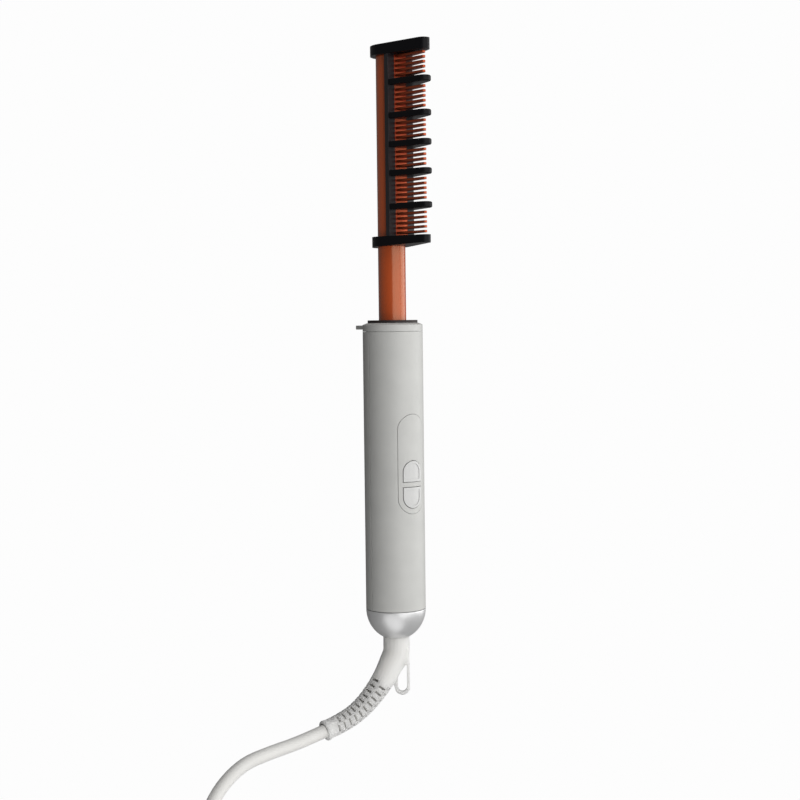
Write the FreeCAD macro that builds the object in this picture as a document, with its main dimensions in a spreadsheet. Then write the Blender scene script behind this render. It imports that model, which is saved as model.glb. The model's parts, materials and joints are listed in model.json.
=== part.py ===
"""Heated styling comb: a comb of hot fins on a round barrel, a two-shell handle with two push buttons,
and a mains cord that swivels in the end cap.

Most pieces are drawn in the tool's own frame: Y is the tool's axis, with zero at the collar's front face
and the tip at +Y, and Z points the way the teeth do. One rest placement then lays the tool on its foot and
on its heel, with the origin at the middle of the foot's sole. The cord, coil and plug are drawn where they
lie on that surface. All lengths are in millimetres.
"""

import FreeCAD
import Part
import Sketcher
import math
import os
import re

V = FreeCAD.Vector
ALONG_Y = FreeCAD.Rotation(V(1, 0, 0), -90)
ALONG_X = FreeCAD.Rotation(V(0, 1, 0), 90)

SIZES = (
    # Handle
    ("handle_radius", 16.0),
    ("handle_length", 148.0),
    ("shell_wall", 1.8),
    ("lip_wall", 0.8),
    ("lip_height", 1.2),
    ("seam_gap", 0.3),
    ("fit_gap", 0.05),
    ("run_gap", 0.3),
    ("bearing_gap", 0.08),
    ("overrun", 4.0),
    # Collar, foot and insulator
    ("collar_length", 4.3),
    ("collar_depth", 11.9),
    ("collar_bevel", 0.9),
    ("collar_bevel_run", 2.3),
    ("foot_reach", 24.8),
    ("foot_width", 12.0),
    ("foot_start", 1.2),
    ("foot_thickness", 2.2),
    ("foot_root", 1.4),
    ("collar_wall", 2.7),
    ("insulator_proud", 1.5),
    # Barrel and its fastening
    ("barrel_radius", 7.3),
    ("barrel_wall", 1.2),
    ("barrel_socket", 2.5),
    ("exposed_barrel", 40.0),
    ("holder_length", 26.0),
    ("pin_radius", 1.2),
    ("pin_drop", 5.0),
    # Comb head
    ("comb_length", 94.9),
    ("tooth_thickness", 1.25),
    ("first_tooth", 1.64),
    ("last_tooth", 1.13),
    ("fin_half_width", 3.35),
    ("fin_tip_radius", 1.3),
    ("fin_tip_centre", 28.1),
    ("strip_half_width", 3.85),
    ("strip_top", 8.9),
    ("strip_depth", 3.0),
    ("strip_end_gap", 0.2),
    ("rail_half_width", 8.3),
    ("rail_back", 6.05),
    ("rail_front", 9.05),
    ("rib_thickness", 3.2),
    ("rib_tip_radius", 3.8),
    ("rib_tip_centre", 28.5),
    ("guard_thickness", 5.6),
    ("guard_slant", 1.5),
    ("guard_radius", 10.3),
    ("guard_tip_radius", 3.3),
    ("guard_tip_centre", 27.8),
    ("cap_thickness", 5.9),
    ("cap_slant", 0.8),
    ("cap_radius", 10.2),
    ("cap_tip_radius", 3.5),
    ("cap_tip_centre", 28.2),
    ("edge_round", 0.7),
    # Heater inside the barrel
    ("heater_start", 4.0),
    ("heater_gap", 0.4),
    ("heater_half_width", 4.3),
    ("heater_half_thickness", 1.1),
    ("film_thickness", 0.2),
    ("spreader_inset", 2.0),
    ("bead_radius", 1.0),
    ("bead_length", 4.0),
    ("bead_drop", 3.2),
    ("wire_radius", 0.8),
    ("wire_spread", 2.6),
    ("sensor_wire_radius", 0.35),
    ("sensor_wire_spread", 0.5),
    ("wire_run_under_board", 8.0),
    ("fuse_radius", 1.6),
    ("fuse_length", 10.0),
    ("fuse_start", 12.0),
    ("plug_length", 9.0),
    ("screw_radius", 1.5),
    ("screw_length", 9.0),
    ("screw_head_radius", 2.8),
    ("screw_head_height", 1.4),
    ("screw_sink", 0.9),
    # Control panel and buttons
    ("panel_start", 48.1),
    ("panel_length", 52.6),
    ("panel_width", 16.3),
    ("panel_proud", 0.1),
    ("panel_gap", 0.2),
    ("flange_run", 1.6),
    ("flange_wall", 1.5),
    ("button_width", 11.5),
    ("button_length", 11.0),
    ("button_gap", 3.0),
    ("button_margin", 3.0),
    ("button_proud", 0.4),
    ("button_flange_run", 0.8),
    ("button_flange_gap", 0.48),
    ("button_flange_wall", 1.5),
    ("button_travel", 0.6),
    # Control board
    ("board_rear_gap", 11.0),
    ("board_width", 20.0),
    ("board_thickness", 1.6),
    ("board_underside", 0.9),
    ("board_gap", 5.0),
    ("switch_side", 6.0),
    ("switch_stem_length", 1.9),
    ("switch_stem_radius", 1.7),
    ("light_length", 1.6),
    ("light_width", 0.9),
    ("light_height", 0.7),
    ("light_step", 5.0),
    ("light_inset", 6.0),
    ("capacitor_length", 14.0),
    ("capacitor_width", 7.0),
    ("capacitor_height", 9.0),
    ("capacitor_inset", 12.0),
    ("triac_length", 15.0),
    ("triac_width", 10.0),
    ("triac_height", 4.4),
    ("triac_inset", 16.0),
    ("post_radius", 2.2),
    ("post_inset_side", 2.6),
    ("post_inset_end", 5.0),
    ("board_screw_radius", 0.95),
    ("board_screw_length", 6.0),
    ("board_screw_head", 1.8),
    ("board_screw_head_height", 1.3),
    # End cap and swivel
    ("dome_depth", 16.9),
    ("dome_spigot_length", 5.0),
    ("dome_root_length", 4.0),
    ("dome_spigot_wall", 1.1),
    ("boss_depth", 4.1),
    ("boss_wall", 1.7),
    ("bush_wall", 1.0),
    ("bush_length", 8.5),
    ("neck_radius", 7.0),
    ("neck_length", 6.9),
    ("spigot_radius", 5.45),
    ("spigot_proud", 1.2),
    ("retainer_gap", 0.85),
    ("retainer_thickness", 2.5),
    ("lug_reach", 1.8),
    ("lug_half_angle", 10.0),
    ("stop_play_angle", 1.0),
    ("swivel_limit_angle", 135.0),
    ("lead_bore", 2.6),
    ("lead_radius", 1.0),
    ("lead_spread", 1.25),
    ("lead_proud", 3.5),
    # Cord boot with its hang loop
    ("boot_reach", 60.0),
    ("boot_root_radius", 6.0),
    ("boot_tip_radius", 5.15),
    ("boot_seat", 8.0),
    ("boot_rim_radius", 5.45),
    ("boot_rim_length", 1.8),
    ("slot_pitch", 3.0),
    ("slot_width", 1.1),
    ("slot_length", 4.0),
    ("slot_depth", 1.5),
    ("slot_end_margin", 7.0),
    ("slot_turn_angle", -10.0),
    ("loop_roll_angle", 38.0),
    ("loop_drop", 19.0),
    ("loop_centre", 3.0),
    ("loop_hole_radius", 2.4),
    ("loop_wall", 1.75),
    ("loop_thickness", 4.0),
    ("loop_apex_drop", 6.0),
    ("loop_apex_offset", 2.5),
    ("loop_shoulder", 6.3),
    ("loop_root_drop", 9.0),
    # Cord, coil and plug
    ("cord_radius", 3.5),
    ("coil_radius", 52.0),
    ("coil_pitch", 7.6),
    ("tie_thickness", 0.8),
    ("tie_gap", 0.3),
    ("tie_width", 5.0),
    ("tie_angle", 45.0),
    ("plug_body_length", 28.0),
    ("plug_body_width", 25.0),
    ("plug_body_height", 14.0),
    ("plug_round", 4.5),
    ("plug_relief_length", 14.0),
    ("plug_relief_root", 5.6),
    ("plug_relief_tip", 4.4),
    ("pin_length", 19.0),
    ("pin_radius_plug", 2.0),
    ("pin_spacing", 19.0),
)

# Teeth in each row of the comb, from the base guard to the tip; a rib stands between two rows
TEETH_IN_ROWS = (5, 5, 4, 4, 5, 5)
# A rib takes the room of this many teeth between two rows
RIB_TEETH = 2
TOOTH_STEPS = sum(TEETH_IN_ROWS) + RIB_TEETH * (len(TEETH_IN_ROWS) - 1) - 1

# Places along the axis and sizes that follow from the table above
STATIONS = (
    ("shell_bore", "handle_radius - shell_wall"),
    ("shell_front", "-collar_length - seam_gap"),
    ("shell_rear", "shell_front - handle_length"),
    ("dome_front", "shell_rear - seam_gap"),
    ("insulator_radius", "handle_radius - collar_wall"),
    ("foot_front", "-foot_start"),
    ("foot_rear", "foot_front - foot_thickness"),
    ("foot_middle", "(foot_front + foot_rear) / 2"),
    ("rest_slope", "(foot_reach - handle_radius) / (foot_middle - shell_rear)"),
    ("barrel_bore", "barrel_radius - barrel_wall"),
    ("holder_front", "-collar_depth"),
    ("holder_rear", "holder_front - holder_length"),
    ("guard_top", "exposed_barrel + guard_thickness"),
    ("cap_base", "guard_top + comb_length"),
    ("cap_top", "cap_base + cap_thickness"),
    ("barrel_end", "cap_base + barrel_socket"),
    ("heater_rear", "guard_top + heater_start"),
    ("heater_length", "barrel_end - plug_length - heater_gap - heater_rear"),
    ("film_half", "heater_half_thickness + film_thickness"),
    ("spreader_rear", "heater_rear + spreader_inset"),
    ("spreader_length", "heater_length - 2 * spreader_inset"),
    ("screw_tip", "cap_top - screw_sink - screw_length"),
    ("board_front", "holder_rear - board_gap"),
    ("board_top", "board_underside + board_thickness"),
    ("wire_end", "board_front - wire_run_under_board"),
    ("panel_front", "-panel_start"),
    ("panel_rear", "panel_front - panel_length"),
    ("button_radius", "button_width / 2"),
    ("lower_end", "panel_rear + button_margin"),
    ("lower_flat", "lower_end + button_length"),
    ("upper_flat", "lower_flat + button_gap"),
    ("upper_end", "upper_flat + button_length"),
    ("panel_underside", "sqrt((shell_bore - flange_wall) ^ 2 - (button_radius + button_flange_run) ^ 2)"),
    ("button_floor", "panel_underside - button_flange_gap - button_flange_wall"),
    ("switch_top", "button_floor - button_travel - run_gap"),
    ("switch_body", "switch_top - switch_stem_length - board_top"),
    ("boss_front", "dome_front - boss_depth"),
    ("bush_bore", "neck_radius + bearing_gap"),
    ("bush_radius", "bush_bore + bush_wall"),
    ("dome_spigot_bore", "shell_bore - fit_gap - dome_spigot_wall"),
    ("retainer_radius", "dome_spigot_bore - retainer_gap - lug_reach"),
    ("retainer_rear", "boss_front + run_gap"),
    ("retainer_front", "retainer_rear + retainer_thickness"),
    ("spigot_end", "retainer_front + spigot_proud"),
    ("board_rear", "spigot_end + lead_proud + board_rear_gap"),
    ("board_length", "board_front - board_rear"),
    ("neck_end", "dome_front - dome_depth - neck_length"),
    ("tooth_pitch", f"(comb_length - first_tooth - last_tooth) / {TOOTH_STEPS}"),
)

# The boot's bends, from the neck's end to its tip, as shares of its reach: sideways, along, up
BOOT_BEND_SHARES = (
    (-0.131, -0.244, -0.028),
    (-0.307, -0.444, -0.063),
    (-0.502, -0.565, -0.093),
    (-0.723, -0.620, -0.111),
)
SLOT_STATIONS = 12

# The cord's free stretch after the boot, and its tail from the coil to the plug
CORD_ROUTE = (
    V(-58.2, -216.0, 4.3),
    V(-75.3, -218.1, 3.6),
    V(-95.0, -221.4, 3.6),
    V(-112.2, -235.0, 3.6),
    V(-120.4, -255.1, 3.8),
    V(-121.1, -288.0, 4.3),
)
COIL_CENTRE = V(-69.2, -326.0, 0)
TAIL_ROUTE = (
    V(-41.2, -378.0, 12.2),
    V(-21.2, -372.5, 10.6),
    V(-6.7, -358.0, 8.4),
    V(-1.2, -338.5, 7.2),
    V(-1.2, -322.0, 7.2),
)
TURNS_PER_LAYER = 3.125
QUARTERS = 4
# Each arc of a cord takes this share of the shorter run beside it
ARC_SHARE = 0.45

doc = FreeCAD.newDocument("heated_styling_comb")
sizes = doc.addObject("Spreadsheet::Sheet", "Sizes")
stations = doc.addObject("Spreadsheet::Sheet", "Stations")
SIZE_NAMES = {name: f"Sizes.{name}" for name, _ in SIZES}
ALL_NAMES = {**SIZE_NAMES, **{name: f"Stations.{name}" for name, _ in STATIONS}}
sub_parts = {}


def written(text, names):
    """An expression in which each known word is named with its sheet."""
    return re.sub(r"[a-z_]+", lambda word: names.get(word.group(0), word.group(0)), text)


def fill_sheets():
    for row, (name, number) in enumerate(SIZES, 1):
        sizes.set(f"A{row}", name)
        sizes.set(f"B{row}", str(number))
        sizes.setAlias(f"B{row}", name)
    for row, (name, formula) in enumerate(STATIONS, 1):
        stations.set(f"A{row}", name)
        stations.set(f"B{row}", "=" + written(formula, SIZE_NAMES))
        stations.setAlias(f"B{row}", name)
    doc.recompute()


def value(name):
    """The number that a size or station holds."""
    sheet = sizes if name in SIZE_NAMES else stations
    return float(sheet.get(name))


def bind(item, **texts):
    for prop, text in texts.items():
        item.setExpression(prop, written(text, ALL_NAMES))


def place(item, x, y, z):
    for axis, text in zip("xyz", (x, y, z)):
        item.setExpression(f"Placement.Base.{axis}", written(text, ALL_NAMES))


def rod(radius, start, length, x="0", z="0", angle="360"):
    """A cylinder along the tool's axis."""
    item = doc.addObject("Part::Cylinder", "rod")
    item.Placement = FreeCAD.Placement(V(), ALONG_Y)
    bind(item, Radius=radius, Height=length, Angle=angle)
    place(item, x, start, z)
    return item


def peg(radius, bottom, height, x="0", y="0"):
    """A cylinder that stands along Z."""
    item = doc.addObject("Part::Cylinder", "peg")
    bind(item, Radius=radius, Height=height)
    place(item, x, y, bottom)
    return item


def cross_pin(radius, length, y, z):
    """A cylinder along X, centred on the axis."""
    item = doc.addObject("Part::Cylinder", "cross_pin")
    item.Placement = FreeCAD.Placement(V(), ALONG_X)
    bind(item, Radius=radius, Height=length)
    place(item, f"-({length}) / 2", y, z)
    return item


def block(width, length, height, y, z, x="0"):
    """A box centred on x, that starts at y and z."""
    item = doc.addObject("Part::Box", "block")
    bind(item, Length=width, Width=length, Height=height)
    place(item, f"{x} - ({width}) / 2", y, z)
    return item


def ellipsoid(radius, depth, centre):
    item = doc.addObject("Part::Ellipsoid", "ellipsoid")
    item.Placement = FreeCAD.Placement(V(), ALONG_Y)
    bind(item, Radius1=depth, Radius2=radius, Radius3=radius, Angle1="-90", Angle2="90", Angle3="360")
    place(item, "0", centre, "0")
    return item


def join(*items):
    result = doc.addObject("Part::MultiFuse", "join")
    result.Shapes = list(items)
    return result


def cut(base, *tools):
    result = doc.addObject("Part::Cut", "cut")
    result.Base = base
    result.Tool = tools[0] if len(tools) == 1 else join(*tools)
    return result


def common(first, second):
    result = doc.addObject("Part::MultiCommon", "common")
    result.Shapes = [first, second]
    return result


def tube(radius, bore, start, length):
    hole = rod(bore, f"{start} - overrun", f"{length} + 2 * overrun")
    return cut(rod(radius, start, length), hole)


def new_sketch(body, role):
    sketch = body.newObject("Sketcher::SketchObject", "sketch")
    plane = next(item for item in body.Origin.OriginFeatures if item.Role == role)
    sketch.AttachmentSupport = [(plane, "")]
    sketch.MapMode = "FlatFace"
    return sketch


def pin_point(sketch, line, point, x, y):
    """Bind one end of a line to expressions for its two coordinates."""
    for kind, text in (("DistanceX", x), ("DistanceY", y)):
        index = sketch.addConstraint(Sketcher.Constraint(kind, -1, 1, line, point, 0.0))
        sketch.setExpression(f"Constraints[{index}]", written(text, ALL_NAMES))


def draw(sketch, outline):
    """A closed outline of straight lines through points given as expressions."""
    count = len(outline)
    around = [2 * math.pi * step / count for step in range(count + 1)]
    corners = [V(math.cos(turn), math.sin(turn), 0) for turn in around]
    for step in range(count):
        sketch.addGeometry(Part.LineSegment(corners[step], corners[step + 1]))
    for step, (x, y) in enumerate(outline):
        sketch.addConstraint(Sketcher.Constraint("Coincident", step - 1 if step else count - 1, 2, step, 1))
        pin_point(sketch, step, 1, x, y)


def turned(outline):
    """A body turned about the tool's axis, from radius and station of each corner."""
    body = doc.addObject("PartDesign::Body", "turned")
    sketch = new_sketch(body, "XY_Plane")
    draw(sketch, outline)
    feature = body.newObject("PartDesign::Revolution", "turn")
    feature.Profile = sketch
    feature.ReferenceAxis = (sketch, ["V_Axis"])
    feature.Angle = 360
    return body


def outline_sketch(body, station):
    """A sketch across the tool's axis at a station, X to the right and Z up."""
    sketch = new_sketch(body, "XZ_Plane")
    sketch.setExpression("AttachmentOffset.Base.z", written(f"-({station})", ALL_NAMES))
    return sketch


def pad_towards_tip(body, sketch, length):
    pad = body.newObject("PartDesign::Pad", "pad")
    pad.Profile = sketch
    pad.Reversed = True
    bind(pad, Length=length)
    return pad


def set_arc(sketch, arc, radius, centre):
    """Bind an arc's radius, and its centre's height on the vertical axis."""
    index = sketch.addConstraint(Sketcher.Constraint("Radius", arc, value(radius)))
    sketch.setExpression(f"Constraints[{index}]", written(radius, ALL_NAMES))
    pin_point(sketch, arc, 3, "0", centre)


def tangent_point(radius, centre, slope):
    return V(radius * math.cos(slope), centre + radius * math.sin(slope), 0)


def mirrored(point):
    return V(-point.x, point.y, point.z)


def draw_teardrop(sketch, radius, tip_radius, tip_centre):
    """A round about the axis and a smaller round at the tip, joined by two tangent lines."""
    slope = math.asin((value(radius) - value(tip_radius)) / value(tip_centre))
    low = tangent_point(value(radius), 0, slope)
    high = tangent_point(value(tip_radius), value(tip_centre), slope)
    tip = V(0, value(tip_centre) + value(tip_radius), 0)
    sketch.addGeometry(Part.LineSegment(low, high))
    sketch.addGeometry(Part.Arc(high, tip, mirrored(high)))
    sketch.addGeometry(Part.LineSegment(mirrored(high), mirrored(low)))
    sketch.addGeometry(Part.Arc(mirrored(low), V(0, -value(radius), 0), low))
    for first, second in ((0, 1), (1, 2), (2, 3), (3, 0)):
        sketch.addConstraint(Sketcher.Constraint("Tangent", first, 2, second, 1))
    set_arc(sketch, 3, radius, "0")
    set_arc(sketch, 1, tip_radius, tip_centre)


def draw_prong(sketch, half_width, root, tip_radius, tip_centre):
    """A straight root that tapers to a round tip."""
    reach = value(tip_centre) - value(root)
    lean = math.atan2(value(half_width), reach) - math.asin(
        value(tip_radius) / math.hypot(value(half_width), reach)
    )
    corner = V(value(half_width), value(root), 0)
    high = tangent_point(value(tip_radius), value(tip_centre), lean)
    tip = V(0, value(tip_centre) + value(tip_radius), 0)
    sketch.addGeometry(Part.LineSegment(mirrored(corner), corner))
    sketch.addGeometry(Part.LineSegment(corner, high))
    sketch.addGeometry(Part.Arc(high, tip, mirrored(high)))
    sketch.addGeometry(Part.LineSegment(mirrored(high), mirrored(corner)))
    for first, second in ((3, 0), (0, 1)):
        sketch.addConstraint(Sketcher.Constraint("Coincident", first, 2, second, 1))
    for first, second in ((1, 2), (2, 3)):
        sketch.addConstraint(Sketcher.Constraint("Tangent", first, 2, second, 1))
    pin_point(sketch, 0, 1, f"-{half_width}", root)
    pin_point(sketch, 0, 2, half_width, root)
    set_arc(sketch, 2, tip_radius, tip_centre)


def slant(body, outline):
    """Shave a body with a cut drawn from the side, right through."""
    sketch = new_sketch(body, "YZ_Plane")
    draw(sketch, outline)
    pocket = body.newObject("PartDesign::Pocket", "slant")
    pocket.Profile = sketch
    pocket.Type = "ThroughAll"
    pocket.SideType = "Symmetric"
    return pocket


def round_rims(body, feature):
    """Round the rims of a plate, and leave its edges along the axis."""
    doc.recompute()
    rims = []
    for number, edge in enumerate(feature.Shape.Edges, 1):
        ends = [vertex.Point for vertex in edge.Vertexes]
        along = len(ends) == 2 and abs(ends[0].x - ends[1].x) + abs(ends[0].z - ends[1].z)
        if along > value("fit_gap"):
            rims.append(f"Edge{number}")
    fillet = body.newObject("PartDesign::Fillet", "rims")
    fillet.Base = (feature, rims)
    bind(fillet, Radius="edge_round")


def sub_part(item, label, placement=FreeCAD.Placement()):
    """Name a finished piece and lay it in place. A lone primitive's own place is bound, so it is wrapped."""
    if item.TypeId in ("Part::Box", "Part::Cylinder"):
        wrap = doc.addObject("Part::Compound", "wrap")
        wrap.Links = [item]
        item = wrap
    item.Label = label
    item.Placement = placement
    sub_parts[label] = item


def rest_placement():
    """Lay the tool on its foot and heel, with the origin at the middle of the sole."""
    tilt = FreeCAD.Rotation(V(1, 0, 0), math.degrees(math.atan(value("rest_slope"))))
    sole = V(0, value("foot_middle"), -value("foot_reach"))
    return FreeCAD.Placement(-tilt.multVec(sole), tilt)


def plate_body(station, thickness, radius, tip_radius, tip_centre, shaved):
    """A black end plate of the comb head: a teardrop with one slanted face and soft rims."""
    body = doc.addObject("PartDesign::Body", "plate")
    sketch = outline_sketch(body, station)
    draw_teardrop(sketch, radius, tip_radius, tip_centre)
    pad_towards_tip(body, sketch, thickness)
    round_rims(body, slant(body, shaved))
    return body


def prong_at(station, thickness, half_width, root, tip_radius, tip_centre):
    """One fin or guard rib: a tapered plate across the axis, centred on a station."""
    body = doc.addObject("PartDesign::Body", "prong")
    sketch = outline_sketch(body, f"{station} - {thickness} / 2")
    draw_prong(sketch, half_width, root, tip_radius, tip_centre)
    pad_towards_tip(body, sketch, thickness)
    return body


def tooth_places():
    """Places of the teeth and of the ribs, in tooth pitches from the first tooth."""
    teeth, ribs, start = [], [], 0
    for row, count in enumerate(TEETH_IN_ROWS):
        teeth += [start + step for step in range(count)]
        start += count + RIB_TEETH
        if row + 1 < len(TEETH_IN_ROWS):
            ribs.append(start - (RIB_TEETH + 1) / 2)
    return teeth, ribs


def make_head(rest):
    """Barrel, fins, frame and end plates."""
    barrel = turned((
        ("barrel_bore", "holder_rear"),
        ("barrel_radius", "holder_rear"),
        ("barrel_radius", "barrel_end"),
        ("barrel_bore", "barrel_end"),
    ))
    pin_hole = cross_pin("pin_radius", "2 * handle_radius", "(holder_front + holder_rear) / 2", "-pin_drop")
    sub_part(cut(barrel, pin_hole), "barrel", rest)

    teeth, ribs = tooth_places()
    first = "guard_top + first_tooth"
    strip = block(
        "2 * strip_half_width",
        "comb_length - 2 * strip_end_gap",
        "strip_depth",
        "guard_top + strip_end_gap",
        "strip_top - strip_depth",
    )
    fin_outline = ("fin_half_width", "strip_top", "fin_tip_radius", "fin_tip_centre")
    fins = [prong_at(f"{first} + {step} * tooth_pitch", "tooth_thickness", *fin_outline) for step in teeth]
    barrel_room = rod("barrel_radius", "guard_top - overrun", "comb_length + 2 * overrun")
    sub_part(cut(join(strip, *fins), barrel_room), "heated_fin_comb", rest)

    rail_width = "rail_half_width - strip_half_width - fit_gap"
    rails = [
        block(
            rail_width,
            "comb_length",
            "rail_front - rail_back",
            "guard_top",
            "rail_back",
            x=f"{side} * (rail_half_width + strip_half_width + fit_gap) / 2",
        )
        for side in (-1, 1)
    ]
    rib_outline = ("rail_half_width", "rail_front", "rib_tip_radius", "rib_tip_centre")
    guards = [prong_at(f"{first} + {step} * tooth_pitch", "rib_thickness", *rib_outline) for step in ribs]
    barrel_room = rod("barrel_radius + fit_gap", "guard_top - overrun", "comb_length + 2 * overrun")
    sub_part(cut(join(*rails, *guards), barrel_room), "comb_frame", rest)

    guard = plate_body(
        "exposed_barrel", "guard_thickness", "guard_radius", "guard_tip_radius", "guard_tip_centre",
        (
            ("exposed_barrel", "-guard_radius"),
            ("exposed_barrel + guard_slant", "guard_tip_centre + guard_tip_radius"),
            ("exposed_barrel - overrun", "guard_tip_centre + guard_tip_radius"),
            ("exposed_barrel - overrun", "-guard_radius"),
        ),
    )
    barrel_hole = rod("barrel_radius + fit_gap", "exposed_barrel - overrun", "guard_thickness + 2 * overrun")
    sub_part(cut(guard, barrel_hole), "base_guard", rest)

    cap = plate_body(
        "cap_base", "cap_thickness", "cap_radius", "cap_tip_radius", "cap_tip_centre",
        (
            ("cap_top - cap_slant", "-cap_radius"),
            ("cap_top", "cap_tip_centre + cap_tip_radius"),
            ("cap_top + overrun", "cap_tip_centre + cap_tip_radius"),
            ("cap_top + overrun", "-cap_radius"),
        ),
    )
    socket = rod("barrel_radius + fit_gap", "cap_base - overrun", "barrel_socket + fit_gap + overrun")
    sub_part(cut(cap, socket, make_screw("fit_gap")), "tip_cap", rest)
    sub_part(make_screw(), "tip_screw", rest)
    tip_plug = rod("barrel_bore - fit_gap", "barrel_end - plug_length", "plug_length")
    sub_part(cut(tip_plug, make_screw("fit_gap")), "tip_plug", rest)


def make_screw(gap="0"):
    """The countersunk tip screw, or with a gap the hole that takes it, open towards the tip."""
    head = "cap_top - screw_sink"
    top = head if gap == "0" else f"{head} + overrun"
    outline = [
        ("0", f"screw_tip - {gap}"),
        (f"screw_radius + {gap}", f"screw_tip - {gap}"),
        (f"screw_radius + {gap}", f"{head} - screw_head_height"),
        (f"screw_head_radius + {gap}", head),
        ("0", top),
    ]
    if gap != "0":
        outline.insert(4, (f"screw_head_radius + {gap}", top))
    return turned(outline)


def make_heater(rest):
    """What heats the barrel, and the wires back to the board."""
    plate = (
        "2 * heater_half_width",
        "heater_length",
        "2 * heater_half_thickness",
        "heater_rear",
        "-heater_half_thickness",
    )
    sub_part(block(*plate), "heater_plate", rest)
    film = block(
        "2 * (heater_half_width + film_thickness)",
        "spreader_length",
        "2 * film_half",
        "spreader_rear",
        "-film_half",
    )
    sub_part(cut(film, block(*plate)), "insulating_film", rest)
    spreaders = {"heat_spreader_upper": "film_half", "heat_spreader_lower": "-film_half - barrel_radius"}
    for label, bottom in spreaders.items():
        bar = rod("barrel_bore - fit_gap", "spreader_rear", "spreader_length")
        half = block("2 * barrel_radius", "heater_length", "barrel_radius", "heater_rear", bottom)
        sub_part(common(bar, half), label, rest)
    bead_rear = "spreader_rear - bead_length"
    bead = rod("bead_radius", bead_rear, "bead_length", z="-bead_drop")
    wire_length = f"{bead_rear} - wire_end"
    bead_wires = [
        rod("sensor_wire_radius", "wire_end", wire_length, f"{side} * sensor_wire_spread", "-bead_drop")
        for side in (-1, 1)
    ]
    sub_part(join(bead, *bead_wires), "thermistor", rest)
    fuse_front = "fuse_start + fuse_length"
    sub_part(rod("fuse_radius", "fuse_start", "fuse_length", "wire_spread"), "thermal_fuse", rest)
    sub_part(
        join(
            rod("wire_radius", "wire_end", "heater_rear - wire_end", "-wire_spread"),
            rod("wire_radius", "wire_end", "fuse_start - wire_end", "wire_spread"),
            rod("wire_radius", fuse_front, f"heater_rear - ({fuse_front})", "wire_spread"),
        ),
        "heater_leads",
        rest,
    )


def make_collar(rest):
    """Collar ring with its rest foot, insulator, barrel holder and pin."""
    body = turned((
        ("insulator_radius + fit_gap", "0"),
        ("handle_radius - collar_bevel_run", "0"),
        ("handle_radius", "-collar_bevel"),
        ("handle_radius", "-collar_length"),
        ("shell_bore - fit_gap", "-collar_length"),
        ("shell_bore - fit_gap", "holder_front"),
        ("insulator_radius + fit_gap", "holder_front"),
    ))
    side = new_sketch(body, "YZ_Plane")
    sole = "-foot_reach - rest_slope * ({} - foot_middle)"
    draw(side, (
        ("foot_front", "foot_root - handle_radius"),
        ("foot_rear", "foot_root - handle_radius"),
        ("foot_rear", sole.format("foot_rear")),
        ("foot_front", sole.format("foot_front")),
    ))
    foot = body.newObject("PartDesign::Pad", "foot")
    foot.Profile = side
    foot.SideType = "Symmetric"
    bind(foot, Length="foot_width")
    sub_part(body, "collar_ring", rest)

    insulator_length = "insulator_proud - holder_front"
    insulator = tube("insulator_radius", "barrel_radius + run_gap", "holder_front", insulator_length)
    sub_part(insulator, "insulator_ring", rest)
    pin_place = ("(holder_front + holder_rear) / 2", "-pin_drop")
    holder = tube("shell_bore - fit_gap", "barrel_radius + fit_gap", "holder_rear", "holder_length")
    sub_part(cut(holder, cross_pin("pin_radius", "2 * handle_radius", *pin_place)), "barrel_holder", rest)
    pin_length = "2 * sqrt((shell_bore - fit_gap) ^ 2 - (pin_drop + pin_radius) ^ 2)"
    sub_part(cross_pin("pin_radius", pin_length, *pin_place), "barrel_pin", rest)


def stadium(width, length, rear, grow="0"):
    """An upright prism with two round ends, from inside the handle to outside it."""
    radius = f"({width}) / 2 + {grow}"
    floor = "0"
    height = "handle_radius + overrun"
    middle = block(f"2 * ({radius})", f"{length} - ({width})", height, f"{rear} + ({width}) / 2", floor)
    ends = [
        peg(radius, floor, height, y=place_text)
        for place_text in (f"{rear} + ({width}) / 2", f"{rear} + {length} - ({width}) / 2")
    ]
    return join(middle, *ends)


def button_prism(flat, end, grow, bottom, height):
    """A prism with a straight edge at flat and a round one at end, grown all round."""
    upper = end == "upper_end"
    centre = f"{end} - button_radius" if upper else f"{end} + button_radius"
    low = f"{flat} - ({grow})" if upper else centre
    high = centre if upper else f"{flat} + {grow}"
    body = block(f"2 * (button_radius + {grow})", f"({high}) - ({low})", height, low, bottom)
    return join(body, peg(f"button_radius + {grow}", bottom, height, y=centre))


BUTTONS = (("button_upper", "upper_flat", "upper_end"), ("button_lower", "lower_flat", "lower_end"))


def make_panel(rest):
    """Control panel with its flange under the shell, and the two buttons in it."""
    span = ("panel_rear - flange_run - overrun", "panel_length + 2 * (flange_run + overrun)")
    skin = common(
        tube("handle_radius + panel_proud", "shell_bore - flange_wall", *span),
        stadium("panel_width", "panel_length", "panel_rear"),
    )
    flange = common(
        tube("shell_bore - fit_gap", "shell_bore - flange_wall", *span),
        stadium("panel_width", "panel_length", "panel_rear", "flange_run"),
    )
    holes = [
        button_prism(flat, end, "run_gap", "0", "handle_radius + overrun") for _, flat, end in BUTTONS
    ]
    sub_part(cut(join(skin, flange), *holes), "control_panel", rest)
    for label, flat, end in BUTTONS:
        crown = common(
            button_prism(flat, end, "0", "button_floor", "handle_radius"),
            rod("handle_radius + button_proud", *span),
        )
        keeper = button_prism(flat, end, "button_flange_run", "button_floor", "button_flange_wall")
        sub_part(join(crown, keeper), label, rest)


def post_places():
    """The board's four corners, as expressions for x and y."""
    side = "board_width / 2 - post_inset_side"
    ends = ("board_rear + post_inset_end", "board_front - post_inset_end")
    return [(f"{sign} * ({side})", end) for sign in (-1, 1) for end in ends]


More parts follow.
